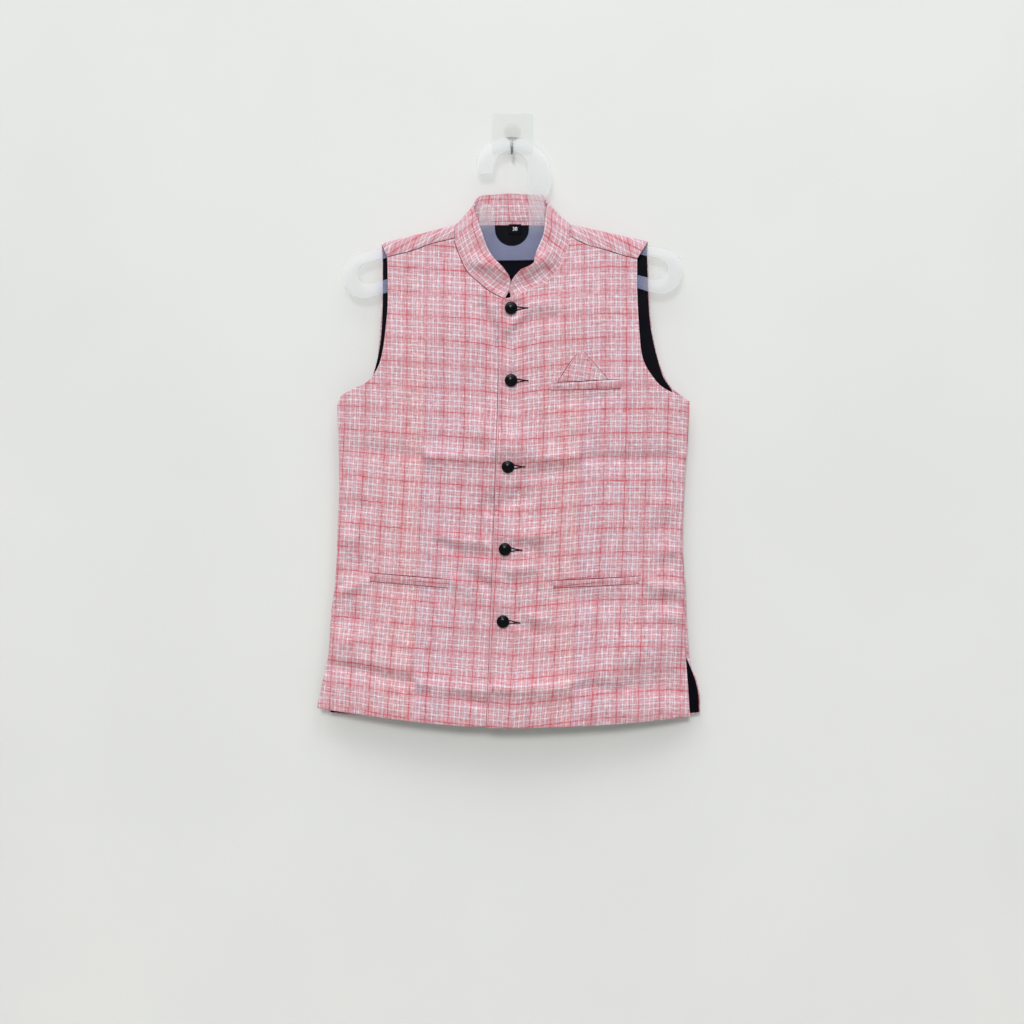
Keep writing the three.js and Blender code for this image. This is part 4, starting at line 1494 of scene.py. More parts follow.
@dataclass
class BackLining:
    """Dark lining inside the back, seen in the neck, the armholes and the vents."""

    drop: float = 12.0
    stand: float = CLOTH + GAP + LINING

    def __post_init__(self) -> None:
        """Sets up the outline."""
        self.top = Line(LINING_TOP)
        lowered = [(p[0], p[1] - self.drop) for p in LINING_TOP]
        self.patch = Patch(
            Chain((LINING_LEFT_SIDE, 10), (LINING_LEFT_ARMHOLE, 8)),
            Chain((LINING_RIGHT_SIDE, 10), (LINING_RIGHT_ARMHOLE, 8)),
            Line(LINING_HEM),
            Line(lowered),
        )

    def spot(self, across: float, along: float) -> Spot:
        """The lining at a share across; along is 0 to 1 on the body and 1 to 3 on the roll."""
        if along <= 1:
            p = self.patch.at(across, along)
            depth = FORM.back(p.x, p.y)
            own = 0.5 * ripple(p.x * 1.3 + 90, p.y * 1.3) * eased(1 - along, 0, 0.1) * eased(along, 0, 0.1)
            own *= eased(min(across, 1 - across), 0, 0.08)
            return Spot(place(p.x, depth + self.stand + max(-0.3, own), p.y), (p.x * MM, p.y * MM))
        p = self.top.at(across)
        share = along - 1 if along <= 2 else along - 2
        low, high = ((12.0, None), (5.0, 12.3)) if along <= 2 else ((5.0, 12.3), (1.0, 14.6))
        depths = []
        for drop, depth in (low, high):
            own = FORM.back(p.x, p.y - drop)
            depths.append(mixed(own if depth is None else depth, min(own, FORM.back_neck),
                                FORM.neck_share(p.x)))
        z = p.y - mixed(low[0], high[0], share)
        return Spot(place(p.x, mixed(*depths, share) + self.stand, z), (p.x * MM, z * MM))

    def build(self) -> Piece:
        """Makes the lining, its good side to the front."""
        rows = [*graded(690, 9), 1.33, 1.66, 2.0, 2.33, 2.66, 3.0]
        bm = lay_sheet(graded(480, 8), rows, self.spot)
        piece = finished(bm, "lining_of_back", Slot.LINING, (SATIN,), ("back_lining",))
        thicken(piece, LINING)
        return piece


@dataclass
class CollarBand:
    """The standing band collar, open at the front, with rounded front ends."""

    parts: tuple[float, ...] = (6, 3, 8, 3, 6)
    crown: float = 0.9
    rows: int = 9

    def __post_init__(self) -> None:
        """Sets up the neck seam and the top edge, stretch by stretch."""
        self.tops = [Line(points, Ends.CARRIED) for points in COLLAR_TOPS]
        self.right_neck = Line(RIGHT_NECK)
        self.left_neck = Line(LEFT_NECK)
        back = BackPanel()
        self.corners = (back.roll(1 / 3), back.roll(2 / 3))
        whole = sum(self.parts)
        self.marks = [sum(self.parts[:k]) / whole for k in range(len(self.parts) + 1)]

    def seam(self, stretch: int, share: float) -> Vector:
        """The neck seam in one stretch, as x, depth and z."""
        if stretch == 0:
            p = self.right_neck.at(1 - share)
            return Vector((p.x, FORM.front(p.x, p.y), p.y))
        if stretch == 4:
            p = self.left_neck.at(share)
            return Vector((p.x, FORM.left_front(p.x, p.y), p.y))
        if stretch == 1:
            return self.corners[0].between(7 - 3 * share)
        if stretch == 3:
            return self.corners[1].between(4 + 3 * share)
        p = RIDGE.at(mixed(1 / 3, 2 / 3, share))
        return Vector((p.x, FORM.back_neck, p.y))

    def ends(self, across: float) -> tuple[Vector, Vector]:
        """The band's lower and upper edge at a share round the neck."""
        k = min(4, max(0, bisect_right(self.marks, across) - 1))
        share = (across - self.marks[k]) / (self.marks[k + 1] - self.marks[k])
        low, high = self.seam(k, share), self.tops[k].at(share)
        return low + (high - low).normalized() * 2 * GAP, high

    def outwards(self, across: float) -> Vector:
        """Which way the band faces, as x, depth and z."""
        before, _ = self.ends(max(0.0, across - 0.004))
        after, _ = self.ends(min(1.0, across + 0.004))
        low, high = self.ends(across)
        return (high - low).cross(after - before).normalized()

    def spot(self, across: float, along: float) -> Spot:
        """The band at a share round the neck and a share up."""
        low, high = self.ends(across)
        way = self.outwards(across)
        around = across * 470
        wave = 0.7 * noise.noise(Vector((around * 0.03, along * 1.4, 11)))
        swell = self.crown * math.sin(math.pi * along) + wave * eased(along, 0, 0.4) * 0.8
        swell += self.dent(across, along)
        flat = low.lerp(high, along)
        creased = sum(crease.lift(flat.x, flat.z) for crease in COLLAR_CREASES)
        swell += CREASE_DEPTH * creased * eased(along, 0, 0.3)
        p = flat + way * swell
        tall = (high - low).length
        threads = ((around + 9) * MM, (along * tall + 3) * MM)
        return Spot(place(p.x, p.y, p.z), threads)

    def dent(self, across: float, along: float) -> float:
        """Where the band buckles: soft hollows at the inner corners and by the left front."""
        hollow = -2.2 * bell(across - 0.80, 0.028) * eased(along, 0.35, 1.0)
        hollow -= 1.2 * bell(across - 0.36, 0.02) * eased(along, 0.3, 1.0)
        hollow -= 1.2 * bell(across - 0.66, 0.02) * eased(along, 0.3, 1.0)
        hollow += 0.8 * bell(across - 0.14, 0.04) * along
        return hollow

    def build(self) -> Piece:
        """Makes the band as two layers of cloth with a rounded top."""
        columns = graded(470, 2.6, (0.5, 1.4, 3.0))
        rows = [0, 0.02, 0.06, *(k / self.rows for k in range(1, self.rows)), 0.95, 0.985, 1]
        bm = lay_sheet(columns, rows, self.spot, turned=True)
        piece = finished(bm, "collar_band", Slot.CHECK, (CHECK,), ("collar",))
        thicken(piece, BAND)
        soften(piece, 0.9)
        return piece


def soften(piece: Piece, radius: float) -> None:
    """Rounds a thick sheet's rim.

    Args:
        piece: The sheet, after its thickness.
        radius: Millimetres.
    """
    bevel = piece.modifiers.new("rounded_rim", "BEVEL")
    bevel.width = radius * MM
    bevel.segments = 3
    bevel.limit_method = "ANGLE"
    bevel.angle_limit = math.radians(55)
    bevel.profile = 0.5


@dataclass
class Welt:
    """A pocket's welt, which lies below its slit, with the slit's shadow above it."""

    name: str
    start: Point
    end: Point
    deep: tuple[float, float]
    depth: Callable[[float, float], float]
    flat: tuple[float, float]
    shift: tuple[float, float]
    mouth: float = 1.3
    thickness: float = 0.9
    rim: float = 0.35

    def spot(self, across: float, along: float) -> Spot:
        """The welt at a share across, and up from its lower seam."""
        x = mixed(self.start[0], self.end[0], across)
        top = mixed(self.start[1], self.end[1], across)
        deep = mixed(*self.deep, across)
        z = top - deep * (1 - along)
        proud = 0.7 + 1.1 * eased(along, 0, 0.6) - 0.5 * eased(along, 0.9, 1.0)
        proud += 0.35 * noise.noise(Vector((x * 0.06, z * 0.1, 40)))
        lift = front_lift(x, z) + proud
        u, v = front_threads(x, z, x < -50)
        return Spot(place(x, self.depth(x, z) + lift, z), (u + self.shift[0], v + self.shift[1]))

    def build(self) -> list[Piece]:
        """Makes the welt, the painted shade strip of its slit and the painted shade line of its foot."""
        wide = self.end[0] - self.start[0]
        rows = [0, 0.06, 0.15, 0.3, 0.5, 0.7, 0.85, 0.94, 1]
        bm = lay_sheet(graded(wide, 2.5, (0.5, 1.2)), rows, self.spot)
        welt = finished(bm, self.name + "_strip", Slot.CHECK, (CHECK,), (self.name,))
        thicken(welt, self.thickness)
        soften(welt, self.rim)
        return [welt, self.slit(), self.foot()]

    def foot(self) -> Piece:
        """The seam at the welt's lower edge, drawn as a painted shade line."""
        run = []
        for k in range(41):
            across = k / 40
            x = mixed(self.start[0], self.end[0], across)
            z = mixed(self.start[1], self.end[1], across) - mixed(*self.deep, across) - 0.5
            run.append(place(x, self.depth(x, z) + front_lift(x, z) + 0.05, z))
        return tube(self.name + "_foot", run, 0.36 * MM, Slot.CHECK, SEAM_SHADE)

    def slit(self) -> Piece:
        """The slit, as a fine strip of painted shade that narrows to both ends."""

        def spot(across: float, along: float) -> Spot:
            x = mixed(self.start[0] + 0.5, self.end[0] - 0.5, across)
            top = mixed(self.start[1], self.end[1], across)
            high = self.mouth * (0.35 + 0.65 * math.sin(math.pi * across) ** 0.5)
            z = top - 0.3 + high * along
            lift = front_lift(x, z) + 0.25
            return Spot(place(x, self.depth(x, z) + lift, z), (x * MM, z * MM))

        bm = lay_sheet([k / 40 for k in range(41)], [0, 0.5, 1], spot)
        piece = finished(bm, self.name + "_slit", Slot.CHECK, (POCKET_SHADE,))
        thicken(piece, 0.2)
        return piece


@dataclass
class PocketSquare:
    """A folded square of the same cloth, set in the chest pocket."""

    left: tuple[Point, ...] = ((100, -182.6), (91.4, -187), (82, -198.8), (65.3, -225.4))
    right: tuple[Point, ...] = ((101.8, -182.6), (115, -197.5), (135.9, -221.3))

    def __post_init__(self) -> None:
        """Sets up its two edges."""
        self.edges = (Line(self.left), Line(self.right))

    def spot(self, across: float, along: float) -> Spot:
        """The square at a share across and up."""
        a, b = (edge.at(1 - along) for edge in self.edges)
        p = a.lerp(b, across)
        wide = max(2.0, (b - a).length)
        fold = 0.5 * bell((1 - across) * wide - 3.2, 0.9) - 0.5 * bell((1 - across) * wide - 4.8, 0.8)
        own = 1.7 + 0.6 * bell(across - 0.45, 0.3) + fold
        depth = FORM.left_front(p.x, p.y) + front_lift(p.x, p.y) + own
        turn = math.radians(8)
        x, z = p.x * math.cos(turn) - p.y * math.sin(turn), p.x * math.sin(turn) + p.y * math.cos(turn)
        return Spot(place(p.x, depth, p.y), ((x + 11) * MM, (z + 6) * MM))

    def build(self) -> Piece:
        """Makes the square."""
        bm = lay_sheet(graded(60, 1.6, (0.4, 1.0)), [k / 26 for k in range(27)], self.spot)
        piece = finished(bm, "folded_square", Slot.CHECK, (CHECK,), ("pocket_square",))
        thicken(piece, 1.0)
        self.hem_edges()
        return piece

    def hem_edges(self) -> None:
        """Painted highlight lines along the square's rolled edges, and the painted shade that they throw."""
        for name, edge, way in (("left", self.edges[0], -1), ("right", self.edges[1], 1)):
            run, shade = [], []
            for k in range(25):
                p = edge.at(k / 24)
                depth = FORM.left_front(p.x, p.y) + front_lift(p.x, p.y)
                run.append(place(p.x - way * 0.3, depth + 1.9, p.y))
                shade.append(place(p.x + way * 1.0, depth + 0.1, p.y + 0.2))
            tube(f"square_edge_{name}", run, 0.55 * MM, Slot.CHECK, EDGE_HIGHLIGHT)
            tube(f"square_shade_{name}", shade, 0.45 * MM, Slot.CHECK, SEAM_SHADE)


@dataclass
class Label:
    """A black ribbon sewn to the lining, bare but for a size number where it has one."""

    name: str
    node: str
    x: float
    top: float
    wide: float
    tall: float
    number: str = ""
    figure_height: float = 7.4

    def spot(self, across: float, along: float) -> Spot:
        """The ribbon at a share across and up."""
        x = self.x + self.wide * (across - 0.5)
        z = self.top - self.tall * (1 - along)
        edge = min(across, 1 - across) * self.wide
        return Spot(place(x, self.depth(x, z) + 1.0 + 0.3 * bell(edge - 1.2, 0.6), z), (x * MM, z * MM))

    def depth(self, x: float, z: float) -> float:
        """Depth just in front of the lining."""
        return min(FORM.back(x, z), FORM.back_neck) + CLOTH + GAP + LINING + 2 * GAP

    def build(self) -> list[Piece]:
        """Makes the ribbon and its number."""
        bm = lay_sheet(graded(self.wide, 2, (0.4, 1.2)), graded(self.tall, 2, (0.4, 1.2)), self.spot)
        ribbon = finished(bm, self.name, Slot.LABEL, (RIBBON,), (self.node,))
        thicken(ribbon, 0.8)
        made = [ribbon]
        if self.number:
            made.append(self.figures())
        return made

    def figures(self) -> Piece:
        """The size number in white thread."""
        text = bpy.data.curves.new(self.name + "_number", "FONT")
        text.body = self.number
        text.size = self.figure_height * MM
        text.align_x = "CENTER"
        text.align_y = "CENTER"
        text.extrude = 0.12 * MM
        text.offset = 0.14 * MM
        z = self.top - self.tall / 2
        turn = Matrix.Translation(place(self.x, self.depth(self.x, z) + 1.15, z)) @ UPRIGHT
        return from_curve(text, self.name + "_number", Slot.LABEL, (NUMBER_THREAD,), turn=turn)


@dataclass
class Button:
    """A round domed button with its shank, turned on a lathe."""

    number: int
    x: float
    z: float
    radius: float = 9.1
    height: float = 6.4

    def build(self) -> Piece:
        """Makes the button from a profile that is spun round."""
        r = self.radius
        profile = [
            (0.0, 0.0), (r * 0.35, 0.0), (r * 0.40, 1.2), (r * 0.86, 1.4), (r * 0.97, 1.9), (r, 2.8),
            (r * 0.975, 3.6), (r * 0.90, 4.4), (r * 0.80, 5.0), (r * 0.74, 5.1), (r * 0.70, 5.0),
            (r * 0.62, 5.5), (r * 0.46, 6.0), (r * 0.24, 6.3), (0.0, self.height),
        ]
        bm = lathe(profile, 40)
        depth = FORM.left_front(self.x, self.z) + 2 * GAP
        turn = Matrix.Translation(place(self.x, depth, self.z)) @ UPRIGHT
        bmesh.ops.transform(bm, matrix=turn, verts=bm.verts[:])
        return finished(bm, f"button_{self.number}_dome", Slot.BUTTON, (GLOSS,), (f"button_{self.number}",))


@dataclass
class Buttonhole:
    """A keyhole buttonhole in black thread, which runs out from under its button."""

    number: int
    x: float
    z: float
    drop: float
    radius: float = 0.75
    reach: float = 25.0

    def on_cloth(self, along: float, across: float) -> Vector:
        """A point of the buttonhole on the cloth, in metres."""
        x = self.x + along
        z = self.z + across - self.drop * along / self.reach
        return place(x, FORM.left_front(x, z) + front_lift(x, z) + 0.5, z)

    def build(self) -> list[Piece]:
        """Makes the two lips and the bar tack."""
        def lip(side: float) -> list[Vector]:
            return [self.on_cloth(7 + 13 * t / 8, side * mixed(2.6, 0.5, eased(t, 0, 8))) for t in range(9)]

        name = f"buttonhole_{self.number}"
        made = [
            tube(f"{name}_upper", lip(1), self.radius * MM, Slot.LABEL, BLACK_THREAD),
            tube(f"{name}_lower", lip(-1), self.radius * MM, Slot.LABEL, BLACK_THREAD),
        ]
        tack = [self.on_cloth(18.5 + 0.9 * k, 0.25 * (-1) ** k * (1 - k / 8)) for k in range(8)]
        made.append(tube(f"{name}_tack", tack, 1.25 * self.radius * MM, Slot.LABEL, BLACK_THREAD))
        return made


@dataclass
class Stitches:
    """Short stitches in a row along a path on the cloth."""

    name: str
    path: Sequence[Point]
    depth: Callable[[float, float], float]
    long: float = 2.7
    gap: float = 1.3
    thick: float = 0.28

    def build(self) -> Piece:
        """Makes every stitch from a small round bead drawn out along the path."""
        line = Line(self.path)
        bm = bmesh.new()
        pitch = self.long + self.gap
        for k in range(int(line.length / pitch)):
            a = line.at(k * pitch / line.length)
            b = line.at((k * pitch + self.long) / line.length)
            ends = [place(p.x, self.depth(p.x, p.y) + front_lift(p.x, p.y) + 0.05, p.y) for p in (a, b)]
            way = ends[1] - ends[0]
            turn = way.to_track_quat("Z", "Y").to_matrix().to_4x4()
            size = Matrix.Diagonal((self.thick * MM, self.thick * MM, way.length / 2, 1))
            spot = Matrix.Translation((ends[0] + ends[1]) / 2) @ turn @ size
            bmesh.ops.create_uvsphere(bm, u_segments=6, v_segments=4, radius=1.0, matrix=spot)
        return finished(bm, self.name, Slot.CHECK, (PINK_THREAD,))


@dataclass
class SeamLines:
    """The painted highlight cords and painted shade lines that draw the collar, shoulder, front-edge and side
    seams.
    """

    fine: int = 40

    def build(self) -> list[Piece]:
        """Makes every seam line."""
        return [*self.collar(), *self.shoulders(), *self.front_edge(), self.side()]

    def collar(self) -> list[Piece]:
        """A painted highlight cord at the collar's foot and the painted shadow beside it."""
        made = []
        for name, line, depth, way in (
            ("right", Line(RIGHT_NECK), FORM.front, -1),
            ("left", Line(LEFT_NECK), FORM.left_front, 1),
        ):
            points, shade = [], []
            for k in range(61):
                share = mixed(0.02, 0.985, k / 60)
                p = line.at(share)
                ahead, behind = line.at(min(1, share + 0.01)), line.at(max(0, share - 0.01))
                out = Vector((-(ahead - behind).y, (ahead - behind).x)).normalized() * way
                cord = p - out * 0.2
                points.append(place(cord.x, depth(p.x, p.y) + 0.55, cord.y))
                far = p + out * 1.35
                shade.append(place(far.x, depth(far.x, far.y) + front_lift(far.x, far.y) * 0.26 + 0.1, far.y))
            made.append(tube(f"collar_piping_{name}", points, 0.45 * MM, Slot.CHECK, EDGE_HIGHLIGHT))
            made.append(tube(f"collar_shade_{name}", shade, 0.4 * MM, Slot.CHECK, SEAM_SHADE))
        return made

    def shoulders(self) -> list[Piece]:
        """The two forward shoulder seams, drawn as painted shade lines."""
        made = []
        for name, shoulder in (("right", Line(RIGHT_SHOULDER)), ("left", Line(LEFT_SHOULDER))):
            points = [shoulder.at(mixed(0.01, 0.99, k / self.fine)) for k in range(self.fine + 1)]
            drawn = [place(p.x, FORM.shoulder - 0.45, p.y + 0.2) for p in points]
            made.append(tube(f"shoulder_seam_{name}", drawn, 0.4 * MM, Slot.CHECK, POCKET_SHADE))
        return made

    def side(self) -> Piece:
        """The left side seam above its vent, drawn as a painted shade line."""
        seam = Line([(246.4, -478), (247.0, -516), (247.8, -560), (248.8, -606), (250.2, -626)])
        points = [seam.at(k / self.fine) for k in range(self.fine + 1)]
        run = [place(p.x - 1.0, FORM.front(p.x, p.y) + 0.2, p.y) for p in points]
        return tube("side_seam_shade_left", run, 0.4 * MM, Slot.CHECK, EDGE_SHADE)

    def front_edge(self) -> list[Piece]:
        """A painted highlight along the rolled edge of the left front, and its painted shade on the right
        one.
        """
        edge, light, shade = Line(LEFT_EDGE), [], []
        for k in range(121):
            p = edge.at(mixed(0.16, 0.992, k / 120))
            near, far = p.x + 0.7, p.x - 1.0
            light.append(place(near, FORM.left_front(near, p.y) + front_lift(near, p.y) + 1.25, p.y))
            shade.append(place(far, FORM.front(far, p.y) + front_lift(far, p.y) + 0.1, p.y))
        return [
            tube("front_edge_highlight", light, 0.5 * MM, Slot.CHECK, EDGE_HIGHLIGHT),
            tube("front_edge_shade", shade, 0.45 * MM, Slot.CHECK, EDGE_SHADE),
        ]


@dataclass
class Jacket:
    """The whole garment."""

    def build(self) -> None:
        """Makes every piece of the jacket, from the wall outwards."""
        BackPanel().build()
        BackLining().build()
        Label("size_ribbon", "size_label", 3.5, 5, 18, 14, "38").build()
        Label("neck_ribbon", "neck_label", 7, -36, 44, 34).build()
        FrontPanel("front_panel_right", "front_right", RIGHT_FRONT, FORM.front, (0.30, 0.705),
                   0.1635, right=True).build()
        FrontPanel("front_panel_left", "front_left", LEFT_FRONT, FORM.left_front, (0.30, 0.71),
                   0.1685, right=False).build()
        CollarBand().build()
        SeamLines().build()
        self.pockets()
        self.fastenings()

    def pockets(self) -> None:
        """Makes the welts and the pocket square."""
        PocketSquare().build()
        left, right = FORM.left_front, FORM.front
        for welt in (
            Welt("welt_chest", (54, -226.7), (155.4, -220.8), (9.5, 13), left, (0.102, 0.0125),
                 (0.011, 0.004)),
            Welt("welt_lower_right", (-204.8, -498), (-91, -507), (11.5, 11.5), right, (0.115, 0.0125),
                 (0.004, 0.006)),
            Welt("welt_lower_left", (58, -508.6), (181, -502.8), (10, 10), left, (0.124, 0.011),
                 (-0.005, 0.009)),
        ):
            welt.build()

    def fastenings(self) -> None:
        """Makes the buttons, the buttonholes and the edge stitching."""
        for k, ((x, z), drop) in enumerate(zip(BUTTON_SPOTS, (0.0, 0.3, 0.2, 1.4, 2.2)), start=1):
            Button(k, x, z).build()
            Buttonhole(k, x, z, drop).build()
        edge = [(x + 6.0, z) for x, z in LEFT_EDGE]
        edge[0] = (edge[0][0], edge[0][1] - 6)
        edge[-1] = (edge[-1][0], edge[-1][1] + 3)
        Stitches("front_edge_stitches", edge, FORM.left_front).build()


# ------------------------------------------------------------------------------- the hanger


class Pen:
    """Draws an outline from straight lines, bends and arcs."""

    def __init__(self, fine: int = 18) -> None:
        """Takes how many steps a bend or a quarter turn has."""
        self.fine = fine
        self.points: list[Point] = []

    def arc(self, x: float, z: float, radius: float, start: float, end: float, back: bool = False) -> None:
        """Adds an arc about x, z from start to end in radians, turning back if asked."""
        turn = end - start
        while turn < 0:
            turn += math.tau
        if back and turn:
            turn -= math.tau
        count = max(4, round(abs(turn) / (math.pi / 2) * self.fine))
        for k in range(count + 1):
            angle = start + turn * k / count
            self.points.append((x + radius * math.cos(angle), z + radius * math.sin(angle)))

    def line(self, x: float, z: float) -> None:
        """Adds a straight line."""
        self.points.append((x, z))

    def bend(self, cx: float, cz: float, x: float, z: float) -> None:
        """Adds a bend to x, z that is pulled towards cx, cz."""
        ax, az = self.points[-1]
        for k in range(1, self.fine + 1):
            t = k / self.fine
            u = 1 - t
            self.points.append((
                u * u * ax + 2 * u * t * cx + t * t * x,
                u * u * az + 2 * u * t * cz + t * t * z,
            ))

    def outline(self) -> list[Point]:
        """The outline without points that lie on each other."""
        kept: list[Point] = []
        for p in self.points:
            if not kept or math.hypot(p[0] - kept[-1][0], p[1] - kept[-1][1]) > 0.05:
                kept.append(p)
        first, last = kept[0], kept[-1]
        if math.hypot(first[0] - last[0], first[1] - last[1]) < 0.05:
            kept.pop()
        return kept


@dataclass
class Hanger:
    """A flat frosted hanger with an open ring at the top and a slot in each end."""

    depth: float = 20.0
    thickness: float = 3.5
    ring_x: float = -2.0
    ring_z: float = 70.4
    tilt: float = 0.9
    rim: float = 0.7

    def body(self) -> list[Point]:
        """The plate's outline about the ring's centre."""
        pen = Pen()
        up, down = math.radians(78), math.radians(-108.7)
        pen.arc(0, 0, 59, math.pi / 2, -0.3, back=True)
        pen.bend(52, -27, 47.5, -32)
        pen.line(47.5, -60)
        pen.bend(47.5, -69, 56, -70.6)
        pen.arc(212.5, -137.3, 33.3, up, down, back=True)
        pen.line(60, -121)
        pen.bend(50, -118.6, 40, -118.6)
        pen.line(-40, -118.6)
        pen.bend(-50, -118.6, -60, -121)
        pen.arc(-212.5, -137.3, 33.3, math.pi - down, math.pi - up, back=True)
        pen.line(-56, -70.6)
        pen.bend(-46.5, -69, -46.5, -62)
        pen.line(-46.5, -48)
        pen.arc(-35.45, -48, 11.05, math.pi, 0, back=True)
        pen.arc(0, -73.7, 24.4, math.pi, math.tau)
        pen.arc(0, 13.9, 24.4, 0, math.pi)
        pen.line(-24.4, 10.8)
        pen.bend(-24.4, 5.8, -29.4, 5.8)
        pen.line(-42, 5.8)
        pen.bend(-48, 5.8, -48.5, 12)
        corner = math.radians(135)
        pen.bend(-51, 30, 59 * math.cos(corner), 59 * math.sin(corner))
        pen.arc(0, 0, 59, corner, math.pi / 2, back=True)
        return pen.outline()

    def slot(self, side: int) -> list[Point]:
        """One end's slot, on the right where side is 1 and on the left where it is -1."""
        pen = Pen()
        slope = math.atan2(-134.4 + 111, side * (208 - 115))
        quarter = math.pi / 2
        pen.arc(side * 208, -134.4, 15, slope - quarter, slope + quarter)
        pen.arc(side * 115, -111, 15, slope + quarter, slope + 3 * quarter)
        return pen.outline()

    def build(self) -> Piece:
        """Makes the plate from its outline, with a rounded rim."""
        curve = bpy.data.curves.new("hanger_plate", "CURVE")
        curve.dimensions = "2D"
        curve.fill_mode = "BOTH"
        curve.extrude = (self.thickness / 2 - self.rim) * MM
        curve.bevel_depth = self.rim * MM
        curve.bevel_resolution = 3
        curve.offset = -self.rim * MM
        for points in (self.body(), self.slot(1), self.slot(-1)):
            run = curve.splines.new("POLY")
            run.points.add(len(points) - 1)
            run.use_cyclic_u = True
            for knot, (x, z) in zip(run.points, points):
                knot.co = (x * MM, z * MM, 0, 1)
        turn = Matrix.Translation(place(self.ring_x, self.depth, self.ring_z))
        turn = turn @ Matrix.Rotation(math.radians(-self.tilt), 4, "Y") @ UPRIGHT
        return from_curve(curve, "hanger_plate", Slot.FROSTED, (FROSTED,), ("hanger",), turn)


@dataclass
class WallHook:
    """The clear pad, its boss and the bent wire that holds the hanger."""

    pad: float = 60.0
    corner: float = 5.0
    thin: float = 2.0
    boss_radius: float = 12.5
    boss_height: float = 6.0
    boss_z: float = 2.4
    wire_radius: float = 1.75

    def build(self) -> None:
        """Makes the three pieces. Their tables are about the pad's own centre."""
        self.square()
        self.dome()
        self.wire()

    def square(self) -> Piece:
        """The pad, a thin square with rounded corners and a soft rim."""
        bm = bmesh.new()
        size = Matrix.Diagonal((self.pad * MM, self.thin * MM, self.pad * MM, 1))
        spot = Matrix.Translation((0, -self.thin * MM / 2, 0)) @ size
        bmesh.ops.create_cube(bm, size=1.0, matrix=spot)
        corners = [e for e in bm.edges if abs(e.verts[0].co.y - e.verts[1].co.y) > 1e-5]
        bmesh.ops.bevel(bm, geom=corners, offset=self.corner * MM, segments=8, affect="EDGES",
                        profile=0.5, material=-1)
        rim = [e for e in bm.edges if all(v.co.y < -self.thin * MM + 1e-6 for v in e.verts)
               and e.is_boundary is False and len({round(f.normal.y, 2) for f in e.link_faces}) > 1]
        bmesh.ops.bevel(bm, geom=rim, offset=0.6 * MM, segments=3, affect="EDGES", profile=0.5, material=-1)
        return finished(bm, "clear_pad_square", Slot.CLEAR, (CLEAR,), ("wall_pad",), soft=False)

    def dome(self) -> Piece:
        """The boss, a clear dome with fine rays."""
        r, h = self.boss_radius, self.boss_height
        profile = [
            (0, 0), (r * 0.97, 0), (r, 0.5), (r, 1.7), (r * 0.97, 2.3), (r * 0.86, 3.7), (r * 0.68, 4.7),
            (r * 0.45, 5.4), (r * 0.22, 5.85), (0, h),
        ]
        bm = lathe(profile, 48)
        for vert in bm.verts:
            radius = math.hypot(vert.co.x, vert.co.y)
            if vert.co.z > 2.0 * MM and radius > 2 * MM:
                ray = math.cos(12 * math.atan2(vert.co.y, vert.co.x))
                vert.co.z += 0.22 * MM * ray
        turn = Matrix.Translation((0, -(self.thin + GAP) * MM, self.boss_z * MM))
        turn = turn @ UPRIGHT
        bmesh.ops.transform(bm, matrix=turn, verts=bm.verts[:])
        return finished(bm, "clear_boss_dome", Slot.CLEAR, (BOSS_CLEAR,), ("hook_boss",))

    def wire(self) -> Piece:
        """The wire, out from under the boss, behind the ring and up in front of it."""
        route = [(6.5, -10.6), (7.5, -15), (11, -24), (15, -30.5), (20, -33), (24, -31.3), (25.7, -27),
                 (25.9, -20.5)]
        line = Line([(-1, -depth, z) for depth, z in route], Ends.CARRIED)
        points = [line.at(k / 60) * MM for k in range(61)]
        piece = tube("hook_wire_bent", points, self.wire_radius * MM, Slot.STEEL, STEEL, sides=5)
        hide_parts("hook_wire")
        return piece


# ------------------------------------------------------------------------------- the studio


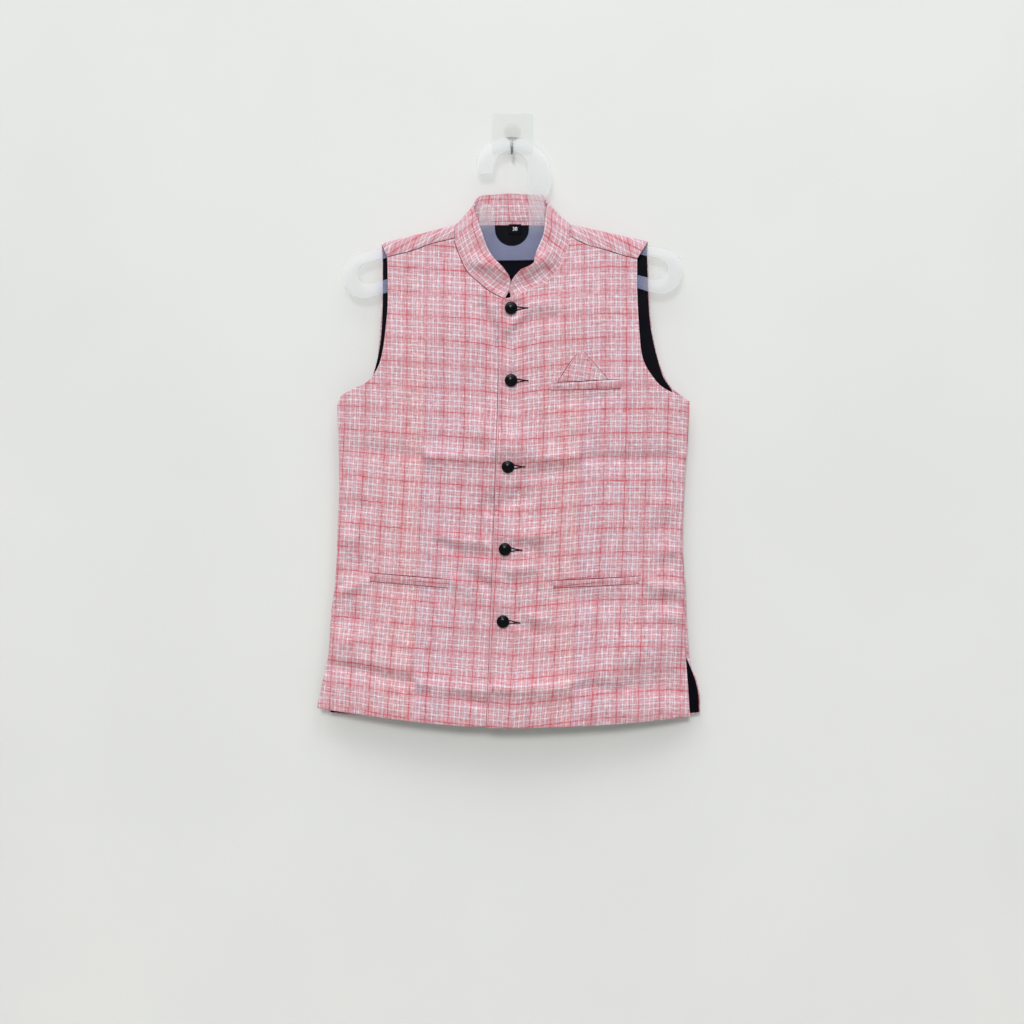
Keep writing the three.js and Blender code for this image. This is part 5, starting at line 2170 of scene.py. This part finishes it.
@dataclass
class Studio:
    """A pale wall and floor, soft lights and the camera."""

    eye: tuple[float, float, float] = (-0.0007, -2.235, -0.549)
    lens: float = 54.1

    def build(self) -> None:
        """Makes everything round the object."""
        self.camera()
        self.board("studio_wall", (3.2, 3.2), (0, 0.0008, 0.9), math.pi / 2, WALL)
        self.board("studio_floor", (3.2, 3.6), (0, -1.8, -2.3), 0.0, FLOOR)
        self.sun("ceiling_left", -34, 62, 0.55, 24, (1.0, 0.99, 0.97))
        self.sun("ceiling_right", 34, 60, 0.45, 24, (0.98, 0.99, 1.0))
        self.sun("front_high", -6, 22, 1.13, 14, (1.0, 0.995, 0.985))
        self.panel("top_soft", (0, -1.5, 0.95), (0, 0, -0.3), (2.0, 1.0), 7, (0.92, 0.97, 1.0))
        world = bpy.data.worlds.new("studio_air")
        world.use_nodes = True
        air = world.node_tree.nodes["Background"]
        air.inputs[0].default_value = (0.93, 0.97, 1.0, 1)
        air.inputs[1].default_value = 0.385
        bpy.context.scene.world = world
        bpy.context.scene.view_settings.view_transform = "Standard"

    def camera(self) -> None:
        """Sets the camera square to the wall."""
        data = bpy.data.cameras.new("front_camera")
        data.lens = self.lens
        data.sensor_width = 36
        holder = linked("front_camera", data)
        holder.location = self.eye
        holder.rotation_euler = (math.pi / 2, 0, 0)
        bpy.context.scene.camera = holder

    def board(self, name: str, size: Point, at: Point, tip: float, finish: Finish) -> None:
        """Makes a flat board of the stage.

        Args:
            name: Its name.
            size: Half its width and half its height, in metres.
            at: Its middle.
            tip: How far it is tipped up, in radians.
            finish: Its paint.
        """
        bm = bmesh.new()
        bmesh.ops.create_grid(bm, x_segments=2, y_segments=2, size=1.0)
        turn = Matrix.Translation(at) @ Matrix.Rotation(tip, 4, "X") @ Matrix.Diagonal((*size, 1, 1))
        bmesh.ops.transform(bm, matrix=turn, verts=bm.verts[:])
        mesh = bpy.data.meshes.new(name)
        bm.to_mesh(mesh)
        bm.free()
        mesh.materials.append(finish.material())
        linked(name, mesh)

    def sun(self, name: str, side: float, height: float, power: float, soft: float, colour: Point) -> None:
        """Adds a soft far light.

        Args:
            name: Its name.
            side: Degrees to the right of straight ahead.
            height: Degrees up.
            power: Its strength.
            soft: How wide it looks, in degrees.
            colour: Its tint.
        """
        data = bpy.data.lights.new(name, "SUN")
        data.energy = power
        data.angle = math.radians(soft)
        data.color = colour
        a, e = math.radians(side), math.radians(height)
        back = Vector((math.sin(a) * math.cos(e), -math.cos(a) * math.cos(e), math.sin(e)))
        holder = linked(name, data)
        holder.location = back * 3
        holder.rotation_euler = back.to_track_quat("Z", "Y").to_euler()

    def panel(self, name: str, at: Point, aim: Point, size: Point, power: float, colour: Point) -> None:
        """Adds a soft rectangular light.

        Args:
            name: Its name.
            at: Where it is.
            aim: Where it points.
            size: Its width and height in metres.
            power: Watts.
            colour: Its tint.
        """
        data = bpy.data.lights.new(name, "AREA")
        data.shape = "RECTANGLE"
        data.size, data.size_y = size
        data.energy = power
        data.color = colour
        holder = linked(name, data)
        holder.location = at
        holder.rotation_euler = (Vector(aim) - Vector(at)).to_track_quat("-Z", "Y").to_euler()


def main() -> None:
    """Builds the studio, the holder and the jacket in order."""
    logging.basicConfig(level=logging.INFO, format="%(name)s %(message)s")
    Studio().build()
    Hanger().build()
    WallHook().build()
    Jacket().build()


if __name__ == "__main__":
    main()
